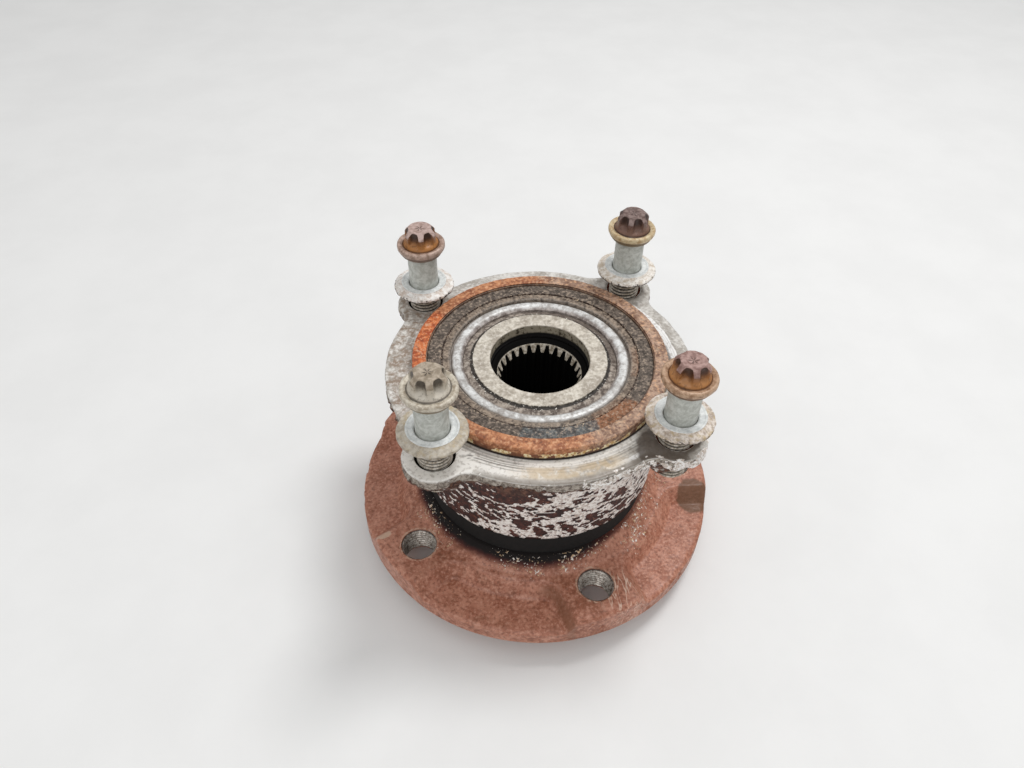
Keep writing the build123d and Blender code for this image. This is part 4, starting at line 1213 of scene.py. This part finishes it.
def make_inner_ring():
    corners = [
        (SPLINE_SEAT_R, INNER_FOOT_Z, 0, "inner", 3.0),
        (HUB_RACE_R, INNER_FOOT_Z, 0, "inner", 3.0),
        (HUB_RACE_R, 72.5, 0, "inner", 3.0),
        (HUB_SHOULDER_R, 74.0, 0, "inner", 3.0),
        (HUB_SHOULDER_R, INNER_FACE_Z - 1.6, 0.3, "inner", 0.6),
        (25.2, INNER_FACE_Z - 0.6, 0.1, "inner", 0.4),
        (24.9, INNER_FACE_Z, 0.2, "inner", 0.5),
        (SPLINE_SEAT_R + 0.2, INNER_FACE_Z, 0.45, "inner", 0.5),
        (SPLINE_SEAT_R + 0.2, NOSE_Z + 0.4, 0, "inner", 1.0),
        (SPLINE_SEAT_R, NOSE_Z + 0.4, 0, "inner", 3.0),
    ]

    def masks(p, n):
        return {"shade": smooth(0.1, 0.9, np.cos(polar(p)[1] - math.radians(40)))}

    ring = turned("inner_ring_ground", corners, 360, FINISHES, relief=small_relief(1.4, 0.08, 61), masks=masks)
    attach(ring, "hub")
    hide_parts("inner_ring")


def make_slinger():
    foot = ENCODER_FOOT_Z
    top = node_high("inboard_slinger").z - 0.02
    sheet = 0.7
    sleeve_r, flange_r = 28.65, 41.2
    bead = [(32.6, top - 0.55), (32.0, top - 0.15), (31.2, top), (30.4, top - 0.06), (29.7, top - 0.35),
            (29.1, top - 0.8)]
    corners = [
        (sleeve_r, foot - 6.2, 0, "slinger", 3.0),
        (29.3, foot - 6.2, 0, "slinger", 3.0),
        (29.3, foot - 1.5, 0, "slinger", 3.0),
        (32.8, foot - sheet, 0, "slinger", 3.0),
        (flange_r, foot - sheet, 0, "slinger", 3.0),
        (flange_r, foot, 0, "slinger", 3.0),
        (33.0, foot - 0.3, 0, "slinger", 0.35),
        *[(r, z, 0.5, "slinger", 0.35) for r, z in bead],
        (sleeve_r, top - 1.2, 0, "slinger", 0.35),
    ]
    ring = turned("slinger_satin", corners, 360, FINISHES, relief=small_relief(2.2, 0.12, 62))
    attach(ring, "hub")
    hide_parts("inboard_slinger")


def make_encoder():
    top = ENCODER_TOP_Z
    inner_r = 33.4
    corners = [
        (inner_r, ENCODER_FOOT_Z + 0.02, 0, "encoder", 3.0),
        (ENCODER_R, ENCODER_FOOT_Z + 0.02, 0, "encoder", 3.0),
        (ENCODER_R, top, 0.25, "encoder", 0.4),
        (36.55, top, 0.12, "encoder", 0.3),
        (36.5, top - 0.5, 0, "encoder", 0.3),
        (36.1, top - 0.5, 0, "encoder", 0.3),
        (36.05, top - 0.3, 0.1, "encoder", 0.4),
        (inner_r + 0.3, top - 0.3, 0.1, "encoder", 0.4),
        (inner_r, top - 0.6, 0, "encoder", 0.4),
    ]

    def masks(p, n):
        r, phi, _ = polar(p)
        rusty = np.maximum(around(phi, -58, 8, 24) * 0.9, around(phi, -12, 8, 20) * smooth(37, 35.5, r))
        return {"slate": around(phi, -88, 14, 26), "rusty": np.maximum(rusty, 0.25)}

    ring = turned("encoder_grimy", corners, 480, FINISHES, relief=small_relief(2.0, 0.16, 63), masks=masks)
    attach(ring, "hub")
    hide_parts("encoder_ring")


def make_seal_gap_dirt():
    """Brown dirt packed in the gap between the ring's bore and the turning encoder."""
    top = RING_END_Z - 0.55
    inner_r, outer_r = ENCODER_R + 0.08, SEAL_BORE_R + 0.15
    corners = [
        (inner_r, top - 1.2, 0, "spigot", 0.6),
        (outer_r, top - 1.2, 0, "spigot", 0.6),
        (outer_r, top, 0, "spigot", 0.3),
        (inner_r, top - 0.1, 0, "spigot", 0.3),
    ]

    def masks(p, n):
        # The dirt's even darkening is painted shade in the gap.
        return {"soot": np.full(p.shape[:2], 0.55), "dull": np.ones(p.shape[:2])}

    ring = turned("seal_gap_dirt", corners, 480, FINISHES, relief=small_relief(1.2, 0.06, 64), masks=masks)
    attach(ring, "outer_ring")


# ------------------------------------------------------------------------------- bolts and washers
# Sizes of the bolts. The levels are measured up from the shoulder that the washer rests on.
THREAD_R = 6.0
THREAD_DEPTH = 0.9
THREAD_POINT = 1.2
SHANK_R = 5.6
COLLAR_R = 9.2
COLLAR_FOOT_UP = 16.2
COLLAR_WIDEST_UP = 19.0
COLLAR_TOP_UP = 20.8
HEAD_FOOT_UP = 20.4
HEAD_FOOT_R = 6.8
HEAD_LOBE_R = 6.1
HEAD_CAP_R = 4.3
HEAD_FLUTE_R = 2.15
HEAD_FLUTE_CIRCLE_R = 6.5
HEAD_FOOT_FLARE = 1.9
HEAD_TOP_INSET = 0.15
HEAD_RELIEF_ROOM = 0.06
HEAD_TURN = {"rear_right": 37.0, "rear_left": 2.0, "front_left": 4.0, "front_right": 56.0}
WASHER_R = 11.8
WASHER_BORE_R = 5.9
WASHER_RING_RS = {"rear_right": (9.5, 10.4), "rear_left": (9.5, 10.4)}


def soft_minimum(a, b, soft):
    """The smaller of two values, rounded over where they cross."""
    share = np.clip(0.5 + 0.5 * (a - b) / soft, 0, 1)
    return a * (1 - share) + b * share - soft * share * (1 - share)


def lobe_radius(phi):
    """The radius of the six-lobe head at an angle, with rounded lobes and flutes."""
    psi = np.abs((phi + math.pi / 6) % (math.pi / 3) - math.pi / 6)
    across = HEAD_FLUTE_CIRCLE_R * np.sin(psi)
    cut = HEAD_FLUTE_CIRCLE_R * np.cos(psi) - np.sqrt(np.maximum(HEAD_FLUTE_R**2 - across**2, 0))
    cut = np.where(across < HEAD_FLUTE_R, cut, COLLAR_R - 0.2)
    return soft_minimum(cut, HEAD_LOBE_R, 0.5)


def make_bolt(name):
    low, high = node_low(f"bolt_{name}"), node_high(f"bolt_{name}")
    x, y = (v / MM for v in joints[f"bolt_{name}_turn"]["pos_m"][:2])
    shoulder_z = node_low(f"washer_{name}").z
    collar_foot_z = shoulder_z + COLLAR_FOOT_UP
    collar_wide_z = shoulder_z + COLLAR_WIDEST_UP
    collar_top_z = shoulder_z + COLLAR_TOP_UP
    head_foot_z = shoulder_z + HEAD_FOOT_UP
    top_z = high.z - HEAD_RELIEF_ROOM
    turn = math.radians(HEAD_TURN[name])
    head, collar = "head_" + name, "collar_" + name

    def cone(z):
        """The radius of the head's chamfered top at a height."""
        return HEAD_CAP_R + top_z - HEAD_TOP_INSET - z

    def shape(r, z, phi):
        in_thread = (z < shoulder_z - 0.01) & (r > THREAD_R - 1.3)
        fade = smooth(shoulder_z - 0.1, shoulder_z - 1.2, z)
        r = np.where(in_thread, np.minimum(r, THREAD_R - thread_wave(z, phi, THREAD_DEPTH) * fade), r)
        # The flutes run out into a flared foot, and the cone cuts the lobes' ends.
        foot_share = smooth(head_foot_z + 2.7, head_foot_z + 0.5, z)
        lobed = lobe_radius(phi - turn) * (1 - foot_share) + HEAD_LOBE_R * foot_share
        flare = np.clip((head_foot_z + HEAD_FOOT_FLARE - z) / HEAD_FOOT_FLARE, 0, 1) ** 1.5
        side = soft_minimum(cone(z), lobed + (HEAD_FOOT_R - HEAD_LOBE_R) * flare, 0.35)
        in_head = (z > head_foot_z - 0.01) & (r < HEAD_FOOT_R + 0.01)
        return np.where(in_head, np.minimum(r, side), r), z

    def masks(p, n):
        r = from_line(p, x, y)
        z = p[..., 2] / MM
        # A dark ring at the head's foot, and painted shade in the thread's valleys.
        at_foot = smooth(0.55, 0.15, np.abs(z - head_foot_z + 0.1)) * smooth(7.35, 7.05, r)
        valley = smooth(THREAD_R - 0.25, THREAD_R - 0.65, r) * (z < shoulder_z - 0.05)
        lobed = lobe_radius(np.arctan2(p[..., 1] / MM - y, p[..., 0] / MM - x) - turn)
        # On the cap the wall has been cut back by the cone; elsewhere it stands at the lobes' radius.
        on_cone = smooth(0.0, 0.5, lobed - cone(z))
        on_top = smooth(top_z - 0.5, top_z - 0.2, z)
        on_tongue = smooth(0.5, 0.15, HEAD_LOBE_R - lobed) * smooth(top_z - 2.9, top_z - 1.9, z)
        return {
            "rust": np.clip(np.maximum(at_foot * (z > collar_foot_z), valley), 0, 1),
            "cap": highest((on_cone, on_top, on_tongue)),
            "flute": smooth(0.35, 1.1, HEAD_LOBE_R - lobed),
            "rise": np.clip((z - head_foot_z) / (top_z - head_foot_z), 0, 1),
            "beneath": smooth(collar_wide_z + 0.3, collar_wide_z - 1.4, z) * (z > shoulder_z),
        }

    def relief(p, n, values):
        upper = smooth(collar_foot_z - 1, collar_foot_z + 1, p[..., 2] / MM)
        worn = (fractal(p, 2.2, 3, 71) - 0.68) * 0.30 + (fractal(p, 0.9, 2, 72) - 0.5) * 0.08
        return np.minimum(worn, 0.03) * upper

    corners = [
        (0.05, low.z, 0, "thread", 2.0),
        (THREAD_R - THREAD_POINT, low.z, 0.1, "thread", 0.5),
        (THREAD_R, low.z + THREAD_POINT, 0, "thread", THREAD_PITCH / 9),
        (THREAD_R, shoulder_z - 0.05, 0, "thread", 0.3),
        (SHANK_R, shoulder_z + 0.05, 0, "shank", 0.8),
        (SHANK_R, collar_foot_z, 0.4, collar, 0.4),
        (7.6, collar_foot_z + 0.1, 0.9, collar, 0.35),
        (COLLAR_R, collar_wide_z, 1.1, collar, 0.3),
        (COLLAR_R, collar_top_z, 0.95, collar, 0.3),
        (8.1, collar_top_z - 0.02, 0.4, collar, 0.3),
        (7.15, head_foot_z - 0.05, 0.15, collar, 0.25),
        (6.95, head_foot_z - 0.25, 0.1, head, 0.2),
        (HEAD_FOOT_R, head_foot_z, 0, head, 0.2),
        (HEAD_FOOT_R, top_z - HEAD_TOP_INSET, 0, head, 0.25),
        (HEAD_CAP_R, top_z - 0.12, 0, head, 0.3),
        (2.7, top_z, 0.5, head, 0.4),
        (1.9, top_z - 0.35, 0.3, head, 0.5),
        (0.05, top_z - 0.4, 0, head, 0.5),
    ]
    bolt = turned(f"bolt_{name}_worn", corners, 192, FINISHES, centre=(x, y), closed=False, shape=shape,
                  relief=relief, masks=masks, phase=turn)
    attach(bolt, f"bolt_{name}")
    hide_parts(f"bolt_{name}")
    make_washer(name, (x, y))


def make_washer(name, centre):
    """The captive washer of a bolt: a rough rim round a smooth seat for the collar."""
    low_z, high_z = node_low(f"washer_{name}").z, node_high(f"washer_{name}").z
    coat = "washer_" + name

    def masks(p, n):
        at_rim = smooth(10.4, 11.7, from_line(p, *centre)) * 0.55
        return {"chip": at_rim + smooth(0.9, 0.2, p[..., 2] / MM - low_z) * 0.4}

    def relief(p, n, values):
        r = from_line(p, *centre)
        crust = smooth(9.6, 11.2, r) * (fractal(p, 1.8, 3, 81) - 0.62) * 0.75
        rings = np.zeros_like(r)
        for ring_r in WASHER_RING_RS.get(name, ()):
            rings = np.maximum(rings, smooth(0.3, 0.05, np.abs(r - ring_r)))
        return np.minimum(crust, 0.0) + (fractal(p, 1.5, 3, 83) - 0.6) * 0.08 - 0.14 * rings

    corners = [
        (WASHER_BORE_R, low_z, 0.2, coat, 0.6),
        (WASHER_R, low_z, 0.5, coat, 0.3),
        (WASHER_R, high_z - 1.3, 0.7, coat, 0.3),
        (8.9, high_z - 0.45, 0.12, coat, 0.25),
        (8.75, high_z, 0.2, "washer_seat", 0.3),
        (8.1, high_z, 0.1, "washer_seat", 0.25),
        (7.9, high_z - 0.2, 0.1, "washer_seat", 0.3),
        (6.35, high_z - 0.2, 0.2, "washer_seat", 0.3),
        (WASHER_BORE_R, high_z - 0.6, 0, "washer_seat", 0.6),
    ]
    washer = turned(f"washer_{name}_chalky", corners, 160, FINISHES, centre=centre, relief=relief, masks=masks)
    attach(washer, f"washer_{name}")
    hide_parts(f"washer_{name}")


# -------------------------------------------------------------------------------- pieces from CAD
def dress_cad_nodes():
    """Gives the inner pieces, which keep their CAD meshes, their finishes."""
    finishes = {
        "balls": plain_finish("ball_polish", (214, 214, 216), (196, 196, 200), 1.0, 0.12, 4.0, 0.0),
        "cage": plain_finish("cage_polyamide", (92, 68, 42), (70, 50, 32), 0.0, 0.55),
        "case": plain_finish("case_grime", (96, 74, 58), (66, 50, 40), 0.1, 0.6),
        "lip": plain_finish("seal_rubber", (18, 15, 14), (9, 8, 7), 0.0, 0.8, 2.0, 0.06),
    }
    for name, node in frame["nodes"].items():
        for key, material in finishes.items():
            if key in name:
                node.data.materials.clear()
                node.data.materials.append(material)


# ------------------------------------------------------------------------- camera, floor and light
CAMERA_POSITION = Vector((-36.94, -207.15, 282.07)) * MM
CAMERA_DOWN = math.radians(44.641)
CAMERA_HEADING = math.radians(7.324)
CAMERA_ROLL = math.radians(0.975)
FOCAL_PIXELS = 770.9
PICTURE_WIDTH = 1024
SENSOR_WIDTH = 36.0
FLOOR_REACH = 4.0
LAMP_AIM = Vector((0, 0, 0.05))
HORIZON_STRENGTH = 0.24
ZENITH_STRENGTH = 0.68


def make_camera():
    level = Vector((math.cos(CAMERA_HEADING), -math.sin(CAMERA_HEADING), 0))
    ahead = Vector((math.sin(CAMERA_HEADING), math.cos(CAMERA_HEADING), 0))
    forward = ahead * math.cos(CAMERA_DOWN) - Vector((0, 0, math.sin(CAMERA_DOWN)))
    lift = level.cross(forward)
    right = level * math.cos(CAMERA_ROLL) + lift * math.sin(CAMERA_ROLL)
    up = lift * math.cos(CAMERA_ROLL) - level * math.sin(CAMERA_ROLL)
    data = bpy.data.cameras.new("photo_camera")
    data.sensor_width = SENSOR_WIDTH
    data.lens = FOCAL_PIXELS / PICTURE_WIDTH * SENSOR_WIDTH
    camera = bpy.data.objects.new("photo_camera", data)
    turn = Matrix((right, up, -forward)).transposed()
    camera.matrix_world = Matrix.Translation(CAMERA_POSITION) @ turn.to_4x4()
    bpy.context.scene.collection.objects.link(camera)
    bpy.context.scene.camera = camera


def make_floor():
    f = Finish("pale_floor")
    f.bump(f.noise(1.0, 3, 0.6), 0.02)
    colour = f.two_tone((236, 236, 235), (240, 240, 239), 60, 4, 0.6, 0.0, 0.3, 0.7)
    mesh = bpy.data.meshes.new("floor")
    square = [(-FLOOR_REACH, -FLOOR_REACH, 0), (FLOOR_REACH, -FLOOR_REACH, 0),
              (FLOOR_REACH, FLOOR_REACH, 0), (-FLOOR_REACH, FLOOR_REACH, 0)]
    mesh.from_pydata(square, [], [(0, 1, 2, 3)])
    mesh.materials.append(f.done(colour, 0.75))
    floor = bpy.data.objects.new("floor", mesh)
    bpy.context.scene.collection.objects.link(floor)


def area_lamp(name, position, size, power):
    data = bpy.data.lights.new(name, "AREA")
    data.shape = "DISK"
    data.size = size
    data.energy = power
    lamp = bpy.data.objects.new(name, data)
    lamp.location = position
    lamp.rotation_mode = "QUATERNION"
    lamp.rotation_quaternion = (LAMP_AIM - Vector(position)).to_track_quat("-Z", "Y")
    bpy.context.scene.collection.objects.link(lamp)


def make_light():
    """A dome that is bright overhead and dimmer at the horizon, a soft key behind and a fill in front."""
    world = bpy.data.worlds.new("studio")
    bpy.context.scene.world = world
    world.use_nodes = True
    tree = world.node_tree
    background = tree.nodes["Background"]
    where = tree.nodes.new("ShaderNodeTexCoord")
    split = tree.nodes.new("ShaderNodeSeparateXYZ")
    ramp = tree.nodes.new("ShaderNodeMapRange")
    ramp.interpolation_type = "SMOOTHSTEP"
    tree.links.new(where.outputs["Generated"], split.inputs[0])
    tree.links.new(split.outputs["Z"], ramp.inputs["Value"])
    limits = {"From Min": -0.1, "From Max": 0.9, "To Min": HORIZON_STRENGTH, "To Max": ZENITH_STRENGTH}
    for key, value in limits.items():
        ramp.inputs[key].default_value = value
    tree.links.new(ramp.outputs["Result"], background.inputs["Strength"])
    background.inputs["Color"].default_value = (1.0, 1.0, 1.0, 1.0)
    area_lamp("key", (0.36, 0.24, 1.05), 0.32, 4.6)
    area_lamp("fill", (-0.30, -0.75, 0.95), 0.60, 2.2)
    bpy.context.scene.view_settings.view_transform = "Standard"


make_hub()
make_outer_ring()
make_inner_ring()
make_slinger()
make_encoder()
make_seal_gap_dirt()
for bolt_name in BOLT_COLOURS:
    make_bolt(bolt_name)
dress_cad_nodes()
make_camera()
make_floor()
make_light()
